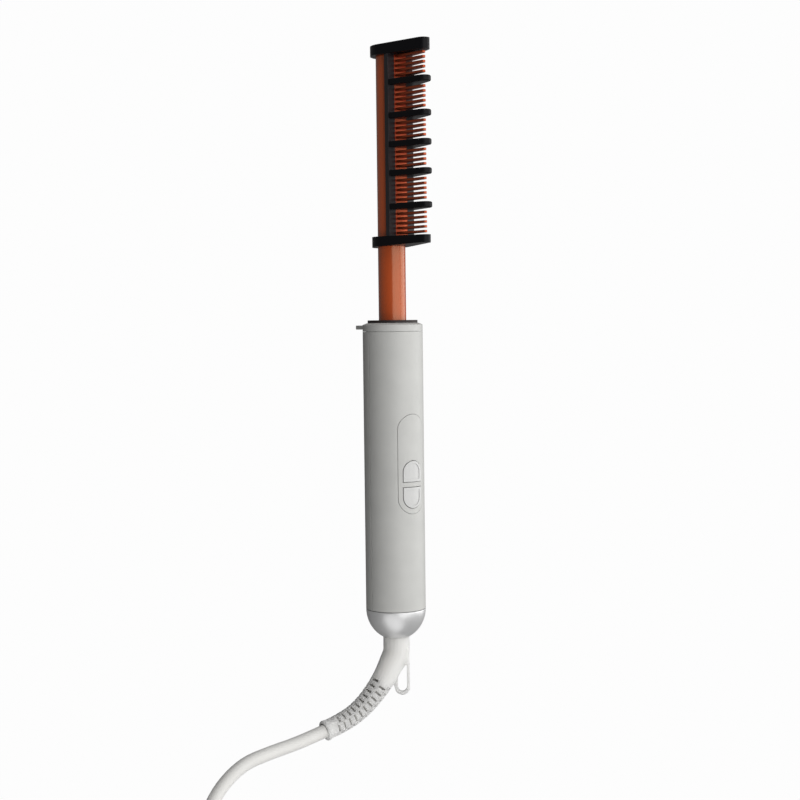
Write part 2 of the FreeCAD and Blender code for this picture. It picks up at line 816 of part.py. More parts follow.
def make_shells(rest):
    """The handle's two shells, parted at the sides."""
    span = ("shell_rear", "handle_length")
    half_size = ("3 * handle_radius", "handle_length", "2 * handle_radius", "shell_rear")
    upper = common(tube("handle_radius", "shell_bore", *span), block(*half_size, "seam_gap / 2"))
    window = stadium("panel_width", "panel_length", "panel_rear", "panel_gap")
    sub_part(cut(upper, window), "front_shell", rest)

    lower = common(
        tube("handle_radius", "shell_bore", *span), block(*half_size, "-2 * handle_radius - seam_gap / 2")
    )
    lip_span = ("board_rear", "board_length")
    lip = common(
        tube("shell_bore - fit_gap", "shell_bore - lip_wall", *lip_span),
        block("3 * handle_radius", "board_length", "2 * lip_height", "board_rear", "-lip_height"),
    )
    lip_root = common(
        tube("shell_bore + shell_wall / 2", "shell_bore - lip_wall", *lip_span),
        block("3 * handle_radius", "board_length", "lip_height", "board_rear", "-lip_height - seam_gap / 2"),
    )
    post_height = "handle_radius + board_underside"
    posts = [peg("post_radius", "-handle_radius", post_height, x, y) for x, y in post_places()]
    inside = rod("shell_bore + shell_wall / 2", *span)
    holes = [
        peg(
            "board_screw_radius + fit_gap",
            "board_top - board_screw_length - fit_gap",
            "board_screw_length + overrun",
            x,
            y,
        )
        for x, y in post_places()
    ]
    sub_part(cut(join(lower, lip, lip_root, common(join(*posts), inside)), *holes), "rear_shell", rest)


def make_electronics(rest):
    """The control board and what is soldered or screwed to it."""
    board = block("board_width", "board_length", "board_thickness", "board_rear", "board_underside")
    drill = ("board_screw_radius + fit_gap", "board_underside - overrun", "board_thickness + 2 * overrun")
    holes = [peg(*drill, x, y) for x, y in post_places()]
    sub_part(cut(board, *holes), "control_board", rest)
    screws = []
    for x, y in post_places():
        shank = peg("board_screw_radius", "board_top - board_screw_length", "board_screw_length", x, y)
        head = peg("board_screw_head", "board_top", "board_screw_head_height", x, y)
        screws.append(join(shank, head))
    sub_part(join(*screws), "board_screws", rest)
    switches = []
    for _, flat, end in BUTTONS:
        middle = f"({flat} + {end}) / 2"
        body = block("switch_side", "switch_side", "switch_body", f"{middle} - switch_side / 2", "board_top")
        stem = peg("switch_stem_radius", "board_top", "switch_top - board_top", y=middle)
        switches.append(join(body, stem))
    sub_part(join(*switches), "tact_switches", rest)
    light_place = "panel_front - light_inset - {} * light_step"
    lights = [
        block("light_width", "light_length", "light_height", light_place.format(step), "board_top")
        for step in range(3)
    ]
    sub_part(join(*lights), "indicator_lights", rest)
    under = "board_underside - {}"
    capacitor = block(
        "capacitor_width", "capacitor_length", "capacitor_height", "board_rear + capacitor_inset",
        under.format("capacitor_height"),
    )
    sub_part(capacitor, "film_capacitor", rest)
    triac = block(
        "triac_width", "triac_length", "triac_height", "board_front - triac_inset - triac_length",
        under.format("triac_height"),
    )
    sub_part(triac, "triac", rest)


def sector(radius, bore, start, length, half_angle, middle):
    """Part of a ring, that spans a half angle to each side of a direction about the axis."""
    wedge = rod(radius, start, length, angle=f"2 * ({half_angle})")
    ring = cut(wedge, rod(bore, f"{start} - overrun", f"{length} + 2 * overrun"))
    spread = value("lug_half_angle") if half_angle == "lug_half_angle" else stop_half_angle()
    turn = FreeCAD.Rotation(V(0, 1, 0), middle - spread)
    ring.Placement = FreeCAD.Placement(V(), turn)
    return ring


def stop_half_angle():
    return 180 - value("swivel_limit_angle") - value("lug_half_angle") - value("stop_play_angle")


STOP_HALF = "180 - swivel_limit_angle - lug_half_angle - stop_play_angle"
# Directions about the axis, in degrees from +X towards -Z
LUG_DIRECTION = -90
STOP_DIRECTION = 90


def make_swivel(rest):
    """End cap, the bush in it, and the ring that keeps the cord's neck there."""
    outer = ellipsoid("handle_radius", "dome_depth", "dome_front")
    inner = ellipsoid("shell_bore", "dome_depth - shell_wall", "dome_front")
    behind = block(
        "3 * handle_radius", "dome_depth + overrun", "3 * handle_radius", "dome_front - dome_depth - overrun",
        "-1.5 * handle_radius",
    )
    shell = common(cut(outer, inner), behind)
    ring = tube(
        "shell_bore - fit_gap",
        "dome_spigot_bore",
        "dome_front - dome_root_length",
        "dome_spigot_length + dome_root_length",
    )
    boss = common(
        rod("bush_radius + boss_wall", "dome_front - dome_depth", "dome_depth - boss_depth"),
        ellipsoid("handle_radius", "dome_depth", "dome_front"),
    )
    stop = sector(
        "shell_bore - fit_gap", "retainer_radius + run_gap", "retainer_rear", "retainer_thickness", STOP_HALF,
        STOP_DIRECTION,
    )
    mouth = rod("neck_radius + run_gap", "dome_front - dome_depth - overrun", "dome_depth + overrun")
    seat = rod("bush_radius + fit_gap", "boss_front - bush_length", "bush_length + overrun")
    sub_part(cut(join(shell, ring, boss, stop), mouth, seat), "end_cap", rest)
    sub_part(tube("bush_radius", "bush_bore", "boss_front - bush_length", "bush_length"), "swivel_bush", rest)
    washer = tube("retainer_radius", "spigot_radius", "retainer_rear", "retainer_thickness")
    lug = sector(
        "retainer_radius + lug_reach",
        "spigot_radius",
        "retainer_rear",
        "retainer_thickness",
        "lug_half_angle",
        LUG_DIRECTION,
    )
    sub_part(join(washer, lug), "swivel_retainer", rest)
    leads = [
        rod("lead_radius", "neck_end", "spigot_end + lead_proud - neck_end", f"{side} * lead_spread")
        for side in (-1, 1)
    ]
    sub_part(join(*leads), "mains_leads", rest)


def rounded_path(points, name):
    """Straight runs joined by tangent arcs, each as large as its two runs allow."""
    edges, start, radii = [], points[0], []
    for before, corner, after in zip(points, points[1:], points[2:]):
        into, out = corner - before, after - corner
        half_turn = into.getAngle(out) / 2
        reach = ARC_SHARE * min(into.Length, out.Length)
        radii.append(reach / math.tan(half_turn))
        into.normalize()
        out.normalize()
        first, last = corner - into * reach, corner + out * reach
        inward = out - into
        inward.normalize()
        depth = radii[-1] * (1 / math.cos(half_turn) - 1)
        edges.append(Part.LineSegment(start, first).toShape())
        edges.append(Part.Arc(first, corner + inward * depth, last).toShape())
        start = last
    edges.append(Part.LineSegment(start, points[-1]).toShape())
    print(name, "arc radii", [round(radius, 1) for radius in radii])
    return Part.Wire(edges)


def round_profile(point, direction, radius):
    return Part.Wire(Part.makeCircle(radius, point, direction))


def swept(path, profiles, name):
    """A solid swept along a path, with its volume beside section times length."""
    pipe = Part.BRepOffsetAPI.MakePipeShell(path)
    for profile in profiles:
        pipe.add(profile)
    pipe.build()
    pipe.makeSolid()
    solid = pipe.shape()
    section = sum(Part.Face(profile).Area for profile in profiles) / len(profiles)
    print(name, "volume", round(solid.Volume), "section times length", round(section * path.Length))
    return solid


def tube_along(points, name):
    path = rounded_path(points, name)
    return swept(path, [round_profile(points[0], points[1] - points[0], value("cord_radius"))], name), path


def place_on(path, distance):
    """The point and the direction at a distance along a path."""
    for edge in path.OrderedEdges:
        if distance <= edge.Length:
            spot = edge.getParameterByLength(distance)
            return edge.valueAt(spot), edge.tangentAt(spot)
        distance -= edge.Length
    raise ValueError("the path is shorter than that")


def feature(shape, label, placement=FreeCAD.Placement()):
    item = doc.addObject("Part::Feature", label)
    item.Shape = shape
    sub_part(item, label, placement)


def boot_points():
    """The boot's centreline in the tool's frame."""
    neck_end, reach = value("neck_end"), value("boot_reach")
    bends = [V(0, neck_end, 0) + V(*share) * reach for share in BOOT_BEND_SHARES]
    return [V(0, neck_end + value("boot_seat"), 0), V(0, neck_end, 0), *bends]


def across(angle):
    """A direction across the tool's axis, by its angle from X towards Z."""
    turn = math.radians(angle)
    return V(math.cos(turn), 0, math.sin(turn))


def boot_slots(path):
    """Staggered slots, in four rows round the strain relief."""
    toward = across(value("loop_roll_angle") + 90)
    slots = []
    for step in range(SLOT_STATIONS):
        for row in range(4):
            back = value("slot_end_margin") + (step + row % 2 / 2) * value("slot_pitch")
            spot, along = place_on(path, path.Length - back)
            out = toward - along * toward.dot(along)
            out.normalize()
            turn = FreeCAD.Rotation(along, 90 * row + value("slot_turn_angle"))
            out = turn.multVec(out)
            size = (value("slot_width"), value("slot_length"), value("boot_root_radius"))
            slot = Part.makeBox(*size, V(-size[0] / 2, -size[1] / 2, 0))
            frame = FreeCAD.Rotation(along, V(), out, "ZXY")
            floor = boot_radius(path, path.Length - back) - value("slot_depth")
            slot.Placement = FreeCAD.Placement(spot + out * floor, frame)
            slots.append(slot)
    return slots


def boot_radius(path, distance):
    share = distance / path.Length
    return value("boot_root_radius") * (1 - share) + value("boot_tip_radius") * share


def hang_loop():
    """The flat loop beside the strain relief, with its teardrop hole."""
    side, up = across(value("loop_roll_angle")), across(value("loop_roll_angle") + 90)
    neck_end, wall = value("neck_end"), value("loop_wall")
    centre, low = value("loop_centre"), neck_end - value("loop_drop")
    hole = value("loop_hole_radius")

    def at(sideways, along):
        return side * sideways + V(0, along, 0) - up * (value("loop_thickness") / 2)

    def face(right, left, top, radius):
        """An outline closed below by a half round about the loop's centre."""
        ends = [at(centre + radius, low), at(centre, low - radius), at(centre - radius, low)]
        corners = [ends[2], *left, *top, *right, ends[0]]
        edges = [Part.Arc(*ends).toShape()]
        edges += [Part.LineSegment(a, b).toShape() for a, b in zip(corners, corners[1:])]
        return Part.Face(Part.Wire(edges))

    root = neck_end - value("loop_root_drop")
    outside = face(
        [at(value("neck_radius") - value("fit_gap"), neck_end)],
        [at(-value("boot_tip_radius"), root)],
        [at(-value("boot_tip_radius"), neck_end + value("boot_seat")), at(0, neck_end + value("boot_seat"))],
        hole + wall,
    )
    inside = face(
        [],
        [at(centre - hole, low + value("loop_shoulder"))],
        [at(centre + value("loop_apex_offset"), neck_end - value("loop_apex_drop"))],
        hole,
    )
    return outside.cut(inside).extrude(up * value("loop_thickness"))


def round_bar(radius, start, end):
    """A plain cylinder along the axis, as a shape."""
    return Part.makeCylinder(radius, end - start, V(0, start, 0), V(0, 1, 0))


def make_boot(rest):
    """The moulded boot: the neck that turns in the cap, the hang loop and the slotted strain relief."""
    points = boot_points()
    path = rounded_path(points, "cord_boot")
    ends = [
        round_profile(points[0], points[1] - points[0], value("boot_root_radius")),
        round_profile(points[-1], points[-1] - points[-2], value("boot_tip_radius")),
    ]
    relief = swept(path, ends, "cord_boot")
    shoulder, neck_end, spigot_end = value("retainer_rear"), value("neck_end"), value("spigot_end")
    neck = round_bar(value("neck_radius"), neck_end, shoulder)
    spigot = round_bar(value("spigot_radius") - value("fit_gap"), shoulder, spigot_end)
    bore = round_bar(value("lead_bore"), neck_end, spigot_end)
    out = points[-1] - points[-2]
    out.normalize()
    rim_length = value("boot_rim_length")
    rim = Part.makeCylinder(value("boot_rim_radius"), rim_length, points[-1] - out * rim_length, out)
    shape = relief.fuse([rim, neck, spigot, hang_loop()]).removeSplitter()
    shape = shape.cut([bore, *boot_slots(path)])
    feature(shape.Solids[0], "cord_boot", rest)
    return rest.multVec(points[-1])


def biarc(start, out_of, end, into):
    """Two tangent arcs between two points with given directions."""
    chord, both = end - start, out_of + into
    bend = 2 * (1 - out_of.dot(into))
    reach = (-chord.dot(both) + math.sqrt(chord.dot(both) ** 2 + bend * chord.dot(chord))) / bend
    middle = (start + out_of * reach + end - into * reach) * 0.5
    return [tangent_arc(start, middle, out_of), tangent_arc(end, middle, -into)]


def tangent_arc(start, end, out_of):
    chord = end - start
    rise = out_of * chord.Length - chord * (out_of.dot(chord) / chord.Length)
    half_angle = out_of.getAngle(chord)
    rise.normalize()
    crown = start + chord * 0.5 + rise * (chord.Length / 2 * math.tan(half_angle / 2))
    return Part.Arc(start, crown, end)


def coil_place(quarter):
    """A point of the coil's centreline. It winds in on the lower layer, climbs, and winds out above."""
    last = 2 * TURNS_PER_LAYER * QUARTERS
    from_middle = quarter - last / 2
    low = value("tie_thickness") + value("tie_gap") + value("cord_radius")
    climb = min(max(from_middle / 2 + 0.5, 0), 1)
    inner = value("coil_radius") - TURNS_PER_LAYER * value("coil_pitch")
    radius = inner + abs(from_middle) / QUARTERS * value("coil_pitch")
    turn = math.pi + quarter * math.pi / 2
    spot = V(radius * math.cos(turn), radius * math.sin(turn), low + climb * value("coil_pitch"))
    steep = value("coil_pitch") / 2 if abs(from_middle) < 1 else 0
    drift = 0 if quarter in (0, last) else math.copysign(value("coil_pitch") / QUARTERS, from_middle)
    out = V(math.cos(turn), math.sin(turn), 0)
    forward = V(-math.sin(turn), math.cos(turn), 0) * (radius * math.pi / 2) + out * drift + V(0, 0, steep)
    forward.normalize()
    return COIL_CENTRE + spot, forward


def make_coil():
    """The put-away length as one wound tube, with a straight end at each side."""
    count = round(2 * TURNS_PER_LAYER * QUARTERS)
    places = [coil_place(quarter) for quarter in range(count + 1)]
    straight = 2 * value("cord_radius")
    start = places[0][0] - places[0][1] * straight
    end = places[-1][0] + places[-1][1] * straight
    edges = [Part.LineSegment(start, places[0][0]).toShape()]
    for (spot, out_of), (following, into) in zip(places, places[1:]):
        first, second = biarc(spot, out_of, following, into)
        edges += [first.toShape(), second.toShape()]
    edges.append(Part.LineSegment(places[-1][0], end).toShape())
    path = Part.Wire(Part.__sortEdges__(edges))
    solid = swept(path, [round_profile(start, places[0][1], value("cord_radius"))], "cord_coil")
    feature(solid, "cord_coil")
    print("cord_coil least gap to itself", round(least_gap(path), 2), "length", round(path.Length))
    return start, end, path.Length


def least_gap(path):
    """The least gap between turns, measured on points along the path."""
    step = value("cord_radius") / 2
    points = path.discretize(Distance=step)
    apart = round(math.pi * value("cord_radius") * 2 / step)
    least = min(
        (points[first] - points[second]).Length
        for first in range(len(points))
        for second in range(first + apart, len(points))
    )
    return least - 2 * value("cord_radius")


def make_tie():
    """A flat band round the coil's bundle."""
    thick, gap, round_cord = value("tie_thickness"), value("tie_gap"), value("cord_radius")
    inner = value("coil_radius") - TURNS_PER_LAYER * value("coil_pitch") - round_cord - gap
    width = value("coil_radius") + round_cord + gap - inner
    height = value("coil_pitch") + 2 * (round_cord + gap)
    spot = COIL_CENTRE + V(0, 0, thick)
    turn = FreeCAD.Rotation(V(0, 0, 1), value("tie_angle"))
    band = value("tie_width")
    corner = V(inner - thick, -band / 2, -thick)
    outer = Part.makeBox(width + 2 * thick, band, height + 2 * thick, corner)
    room = Part.makeBox(width, 2 * band, height, V(inner, -band, 0))
    rounded = outer.makeFillet(thick, [edge for edge in outer.Edges if edge.Length < band + thick])
    feature(rounded.cut(room), "cord_tie", FreeCAD.Placement(spot, turn))


def make_plug(entry):
    """The moulded plug and its two pins, drawn with the cord's entry at zero and laid at the cord's end."""
    relief = doc.addObject("Part::Cone", "relief")
    relief.Placement = FreeCAD.Placement(V(), ALONG_Y)
    bind(relief, Radius1="plug_relief_tip", Radius2="plug_relief_root", Height="plug_relief_length")
    body = block(
        "plug_body_width",
        "plug_body_length",
        "plug_body_height",
        "plug_relief_length",
        "-plug_body_height / 2",
    )
    doc.recompute()
    rounded = doc.addObject("Part::Fillet", "rounded")
    rounded.Base = body
    radius = value("plug_round")
    rounded.Edges = [
        (number, radius, radius)
        for number, edge in enumerate(body.Shape.Edges, 1)
        if abs(edge.tangentAt(edge.FirstParameter).y) > 0.5
    ]
    laid = FreeCAD.Placement(entry, FreeCAD.Rotation())
    sub_part(join(relief, rounded), "plug_body", laid)
    pin_root = "plug_relief_length + plug_body_length"
    pins = [
        rod("pin_radius_plug", pin_root, "pin_length", f"{side} * pin_spacing / 2") for side in (-1, 1)
    ]
    sub_part(join(*pins), "plug_pins", laid)


def make_cord(boot_tip):
    """The cord from the boot, its coil, and the tail that ends in the plug."""
    start, end, wound = make_coil()
    free, free_path = tube_along([boot_tip, *CORD_ROUTE, start], "power_cord")
    feature(free, "power_cord")
    tail, tail_path = tube_along([end, *TAIL_ROUTE], "cord_tail")
    feature(tail, "cord_tail")
    print("cord length", round(free_path.Length + wound + tail_path.Length))
    make_tie()
    make_plug(TAIL_ROUTE[-1])


def check():
    """Stop on any failed object or bad shape."""
    for item in doc.Objects:
        if {"Invalid", "Error"} & set(item.State):
            raise RuntimeError(f"{item.Name} {item.Label} failed: {item.State}")
    for label, item in sub_parts.items():
        if item.Shape.isNull() or not item.Shape.isValid() or not item.Shape.Solids:
            raise RuntimeError(f"{label} has no valid solid")


def main():
    fill_sheets()
    rest = rest_placement()
    make_head(rest)
    make_heater(rest)
    make_collar(rest)
    make_panel(rest)
    make_shells(rest)
    make_electronics(rest)
    make_swivel(rest)
    make_cord(make_boot(rest))
    doc.recompute()
    check()
    os.makedirs("parts", exist_ok=True)
    for label, item in sub_parts.items():
        item.Shape.exportStep(f"parts/{label}.step")
        print(label, len(item.Shape.Solids), "solids", round(item.Shape.Volume, 1), "cubic mm")


main()
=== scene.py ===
# %% [markdown]
# # A heated styling comb
# The object is a hair tool: a comb of hot copper-coloured fins on a round barrel, a silver handle with two
# push buttons, and a grey mains cord that leaves through a bent rubber boot. The engineering model is loaded
# first as a fixed frame, in metres. Every piece made below stands where that frame says, and rides on one of
# its bodies.

# %% Load the frame
import bpy
import bmesh
import json
import math
from mathutils import Matrix, Vector


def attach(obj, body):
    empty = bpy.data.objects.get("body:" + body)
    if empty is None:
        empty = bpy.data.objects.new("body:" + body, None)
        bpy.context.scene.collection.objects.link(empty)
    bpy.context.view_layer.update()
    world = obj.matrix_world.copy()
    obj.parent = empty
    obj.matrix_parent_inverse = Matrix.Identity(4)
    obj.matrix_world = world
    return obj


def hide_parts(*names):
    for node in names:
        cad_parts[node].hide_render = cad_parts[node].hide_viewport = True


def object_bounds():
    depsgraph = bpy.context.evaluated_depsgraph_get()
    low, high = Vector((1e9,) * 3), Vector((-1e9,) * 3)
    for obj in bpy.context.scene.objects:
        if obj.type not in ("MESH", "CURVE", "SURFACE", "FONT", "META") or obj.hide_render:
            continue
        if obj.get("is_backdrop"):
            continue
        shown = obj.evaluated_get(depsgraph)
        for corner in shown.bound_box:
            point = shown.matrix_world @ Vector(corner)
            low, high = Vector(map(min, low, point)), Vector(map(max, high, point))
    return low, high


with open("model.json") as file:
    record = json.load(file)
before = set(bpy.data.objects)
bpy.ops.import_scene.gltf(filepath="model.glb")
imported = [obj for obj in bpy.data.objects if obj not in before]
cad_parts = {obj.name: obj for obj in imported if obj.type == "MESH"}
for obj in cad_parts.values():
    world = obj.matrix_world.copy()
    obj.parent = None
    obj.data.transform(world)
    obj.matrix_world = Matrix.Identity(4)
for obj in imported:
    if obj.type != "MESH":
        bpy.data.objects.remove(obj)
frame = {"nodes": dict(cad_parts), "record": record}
cad_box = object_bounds()

# %% [markdown]
# ## The tool's own frame
# It is easier to model along the tool's axis than along its tilted lie on the table. So pieces are drawn with
# Y along the tool, zero at the collar's front face and the teeth towards Z, in millimetres. One matrix then
# tips them back by about three degrees, onto the foot under the collar and the heel of the handle.

# %% Rest matrix
MM = 0.001
FOOT_REACH, HANDLE_R, SHELL_WALL = 24.8, 16.0, 1.8
FOOT_Y, SHELL_FRONT, SHELL_REAR = -2.3, -4.6, -152.6
tilt = math.atan((FOOT_REACH - HANDLE_R) / (FOOT_Y - SHELL_REAR))
turn = Matrix.Rotation(tilt, 4, "X")
sole = turn @ Vector((0, FOOT_Y, -FOOT_REACH)) * MM
REST = Matrix.Translation(-sole) @ turn
print("rest tilt in degrees:", round(math.degrees(tilt), 2))

# %% [markdown]
# ## Camera
# The photograph looks at the tool from its left, 38 degrees round from straight above the teeth, with the tip
# at the top of the picture. The camera is therefore placed in the tool's frame: right, up and backward
# directions make its rotation, and a slight roll gives the lean that the tool has in the picture.

# %% Set up the camera
VIEW_TURN, VIEW_PITCH, VIEW_LEAN = math.radians(38.0), 0.04871, 0.0119
FOCAL_PIXELS, FRAME_PIXELS = 1600.0, 800.0
VIEW_DISTANCE, VIEW_SHIFT, VIEW_HEIGHT = 853.3, 3.47, 0.5
toward = Vector((math.sin(VIEW_TURN), 0, -math.cos(VIEW_TURN)))
ahead = toward * math.cos(VIEW_PITCH) - Vector((0, 1, 0)) * math.sin(VIEW_PITCH)
level = Vector((math.cos(VIEW_TURN), 0, math.sin(VIEW_TURN)))
upright = level.cross(ahead)
right = level * math.cos(VIEW_LEAN) - upright * math.sin(VIEW_LEAN)
above = level * math.sin(VIEW_LEAN) + upright * math.cos(VIEW_LEAN)
place = (Vector((0, VIEW_HEIGHT, 0)) - toward * VIEW_DISTANCE + right * VIEW_SHIFT) * MM
pose = Matrix((right, above, -ahead)).transposed().to_4x4()
pose.translation = place
bpy.ops.object.camera_add()
camera = bpy.context.object
camera.name = "photo_camera"
camera.matrix_world = REST @ pose
camera.data.sensor_width = 36.0
camera.data.lens = 36.0 * FOCAL_PIXELS / FRAME_PIXELS
camera.data.clip_start = 0.02
bpy.context.scene.camera = camera
bpy.context.scene.view_settings.view_transform = "Standard"
print("camera lens in mm:", round(camera.data.lens, 1))

# %% [markdown]
# ## Small helpers for modelling
# Each piece starts from a primitive that is added with nothing else selected. The helpers below wrap the
# steps that come back for every piece: add, select by place, apply a modifier, cut with another piece, lay
# the piece in its rest place and hand it to the frame.

# %% Helpers to add, select and apply
def add(name, operator, **how):
    """Add a primitive by itself and name it."""
    if bpy.context.mode != "OBJECT":
        bpy.ops.object.mode_set(mode="OBJECT")
    bpy.ops.object.select_all(action="DESELECT")
    operator(**how)
    piece = bpy.context.object
    piece.name = piece.data.name = name
    return piece


def only(piece):
    """Make one piece the active and only selected one."""
    bpy.ops.object.select_all(action="DESELECT")
    piece.select_set(True)
    bpy.context.view_layer.objects.active = piece


def edit(piece):
    only(piece)
    bpy.ops.object.mode_set(mode="EDIT")
    bpy.ops.mesh.select_mode(type="VERT")
    bpy.ops.mesh.select_all(action="SELECT")


def pick(piece, wanted):
    """In edit mode, select the vertices for which wanted(place in mm) holds."""
    mesh = bmesh.from_edit_mesh(piece.data)
    for vertex in mesh.verts:
        vertex.select_set(bool(wanted(piece.matrix_world @ vertex.co / MM)))
    mesh.select_flush(True)
    mesh.select_flush(False)
    bmesh.update_edit_mesh(piece.data)


def tidy(piece):
    """Merge doubles, turn the faces outwards and leave edit mode."""
    bpy.ops.mesh.select_all(action="SELECT")
    bpy.ops.mesh.remove_doubles(threshold=0.004 * MM)
    bpy.ops.mesh.normals_make_consistent(inside=False)
    bpy.ops.object.mode_set(mode="OBJECT")
    bpy.ops.object.transform_apply(location=True, rotation=True, scale=True)
    return piece


def modify(piece, kind, **settings):
    """Add a modifier, set it up and apply it."""
    only(piece)
    modifier = piece.modifiers.new(kind.lower(), kind)
    for key, setting in settings.items():
        setattr(modifier, key, setting)
    bpy.ops.object.modifier_apply(modifier=modifier.name)
    return piece


def carve(piece, cutter, operation="DIFFERENCE"):
    """Cut a piece with another one, which is used up."""
    modify(piece, "BOOLEAN", object=cutter, operation=operation, solver="EXACT")
    bpy.data.objects.remove(cutter)
    return piece


def soften(piece, width, segments=3, angle=35):
    """Round the sharp edges."""
    return modify(
        piece, "BEVEL", width=width * MM, segments=segments, limit_method="ANGLE",
        angle_limit=math.radians(angle), use_clamp_overlap=True,
    )


def gather(name, pieces):
    """Join several pieces into the first."""
    only(pieces[0])
    for piece in pieces[1:]:
        piece.select_set(True)
    bpy.ops.object.join()
    joined = bpy.context.object
    joined.name = joined.data.name = name
    return joined


def hand_over(piece, finish, body, slot, *nodes, laid=True, angle=32):
    """Lay a finished piece in its rest place, give it its finish, and let it ride on a body."""
    if laid:
        piece.matrix_world = REST @ piece.matrix_world
    only(piece)
    bpy.ops.object.transform_apply(location=True, rotation=True, scale=True)
    bpy.ops.object.shade_smooth_by_angle(angle=math.radians(angle))
    modify(piece, "WEIGHTED_NORMAL", keep_sharp=True)
    piece.data.materials.clear()
    piece.data.materials.append(finish)
    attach(piece, body)
    if nodes:
        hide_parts(*nodes)
    print(piece.name, len(piece.data.polygons), "faces, rides on", body)
    return piece


# %% [markdown]
# A turned piece, such as a collar or a barrel, is a circle that is extruded along the axis from one station to
# the next and resized at each. That is how one would draw it by hand, and it keeps the rings even.

# %% Helper for turned pieces
def turned(name, profile, sides=128):
    """Extrude a circle along Y through pairs of radius and place, in mm."""
    radius, start = profile[0]
    piece = add(
        name, bpy.ops.mesh.primitive_circle_add, vertices=sides, radius=radius * MM,
        location=(0, start * MM, 0), rotation=(math.pi / 2, 0, 0),
    )
    edit(piece)
    for (before, y_before), (after, y_after) in zip(profile, profile[1:]):
        step = (0, (y_after - y_before) * MM, 0)
        bpy.ops.mesh.extrude_region_move(TRANSFORM_OT_translate={"value": step})
        scale = after / before
        bpy.ops.transform.resize(value=(scale, 1, scale), center_override=(0, y_after * MM, 0))
    return tidy(piece)


def box(name, size, middle):
    """A cube of a given size about a middle, in mm."""
    piece = add(name, bpy.ops.mesh.primitive_cube_add, size=MM, location=[part * MM for part in middle])
    edit(piece)
    bpy.ops.transform.resize(value=size, center_override=[part * MM for part in middle])
    return tidy(piece)


# %% [markdown]
# ## Finishes
# All finishes are made from nodes. Moulded plastic gets a fine grain in its bump and a faint change of
# roughness, because even a plain moulding never reflects like a perfect mirror. Sizes of the grain are in
# real units, since the patterns read Object coordinates, which are metres here.
#
# Four things set the finishes apart. The fins are bare metal, which has no colour but that of its reflections.
# The barrel is lacquered: a deep colour below a glossy coat whose own shine is warm. The black rails are a
# little shinier than the ribs, and their black is also painted a shade lighter, as painted light on their lit
# front. The rubber of the boot and the cord has a powdery sheen at its edges, and light travels some way inside
# the boot, as it does in soft pale rubber.

# %% Helper for moulded, metal and rubber finishes
GLOW_DEPTH = 0.012
POWDER_ROUGHNESS = 0.6
GRAIN_HEIGHT = 0.00005
GRAIN_PER_CLOUD = 40


def finish(name, colour, roughness, metallic=0.0, grain=2500.0, depth=0.15, vary=0.06, stretch=(1, 1, 1),
           specular=0.5, inner_glow=0.0, shine=(1, 1, 1), powder=0.0):
    """A principled surface with fine grain in its bump, its roughness and, faintly, its colour."""
    material = bpy.data.materials.new(name)
    material.use_nodes = True
    nodes, links = material.node_tree.nodes, material.node_tree.links
    surface = nodes["Principled BSDF"]
    surface.inputs["Metallic"].default_value = metallic
    surface.inputs["Specular Tint"].default_value = (*shine, 1)
    surface.inputs["Specular IOR Level"].default_value = specular
    surface.inputs["Subsurface Weight"].default_value = inner_glow
    surface.inputs["Subsurface Radius"].default_value = (1.0, 1.0, 1.0)
    surface.inputs["Subsurface Scale"].default_value = GLOW_DEPTH
    surface.inputs["Sheen Weight"].default_value = powder
    surface.inputs["Sheen Roughness"].default_value = POWDER_ROUGHNESS
    where = nodes.new("ShaderNodeTexCoord")
    mapping = nodes.new("ShaderNodeMapping")
    mapping.inputs["Rotation"].default_value = (-tilt, 0, 0)
    mapping.inputs["Scale"].default_value = stretch
    noise = nodes.new("ShaderNodeTexNoise")
    noise.inputs["Scale"].default_value = grain
    noise.inputs["Detail"].default_value = 3.0
    wide = nodes.new("ShaderNodeTexNoise")
    wide.inputs["Scale"].default_value = grain / GRAIN_PER_CLOUD
    links.new(where.outputs["Object"], mapping.inputs["Vector"])
    links.new(mapping.outputs["Vector"], noise.inputs["Vector"])
    links.new(mapping.outputs["Vector"], wide.inputs["Vector"])
    rough = nodes.new("ShaderNodeMapRange")
    rough.inputs["To Min"].default_value = roughness - vary
    rough.inputs["To Max"].default_value = roughness + vary
    links.new(noise.outputs["Fac"], rough.inputs["Value"])
    links.new(rough.outputs["Result"], surface.inputs["Roughness"])
    tint = nodes.new("ShaderNodeMix")
    tint.data_type = "RGBA"
    tint.inputs["A"].default_value = (*[part * (1 - vary) for part in colour], 1)
    tint.inputs["B"].default_value = (*[min(part * (1 + vary), 1) for part in colour], 1)
    links.new(wide.outputs["Fac"], tint.inputs["Factor"])
    links.new(tint.outputs["Result"], surface.inputs["Base Color"])
    bump = nodes.new("ShaderNodeBump")
    bump.inputs["Strength"].default_value = depth
    bump.inputs["Distance"].default_value = GRAIN_HEIGHT
    links.new(noise.outputs["Fac"], bump.inputs["Height"])
    links.new(bump.outputs["Normal"], surface.inputs["Normal"])
    return material


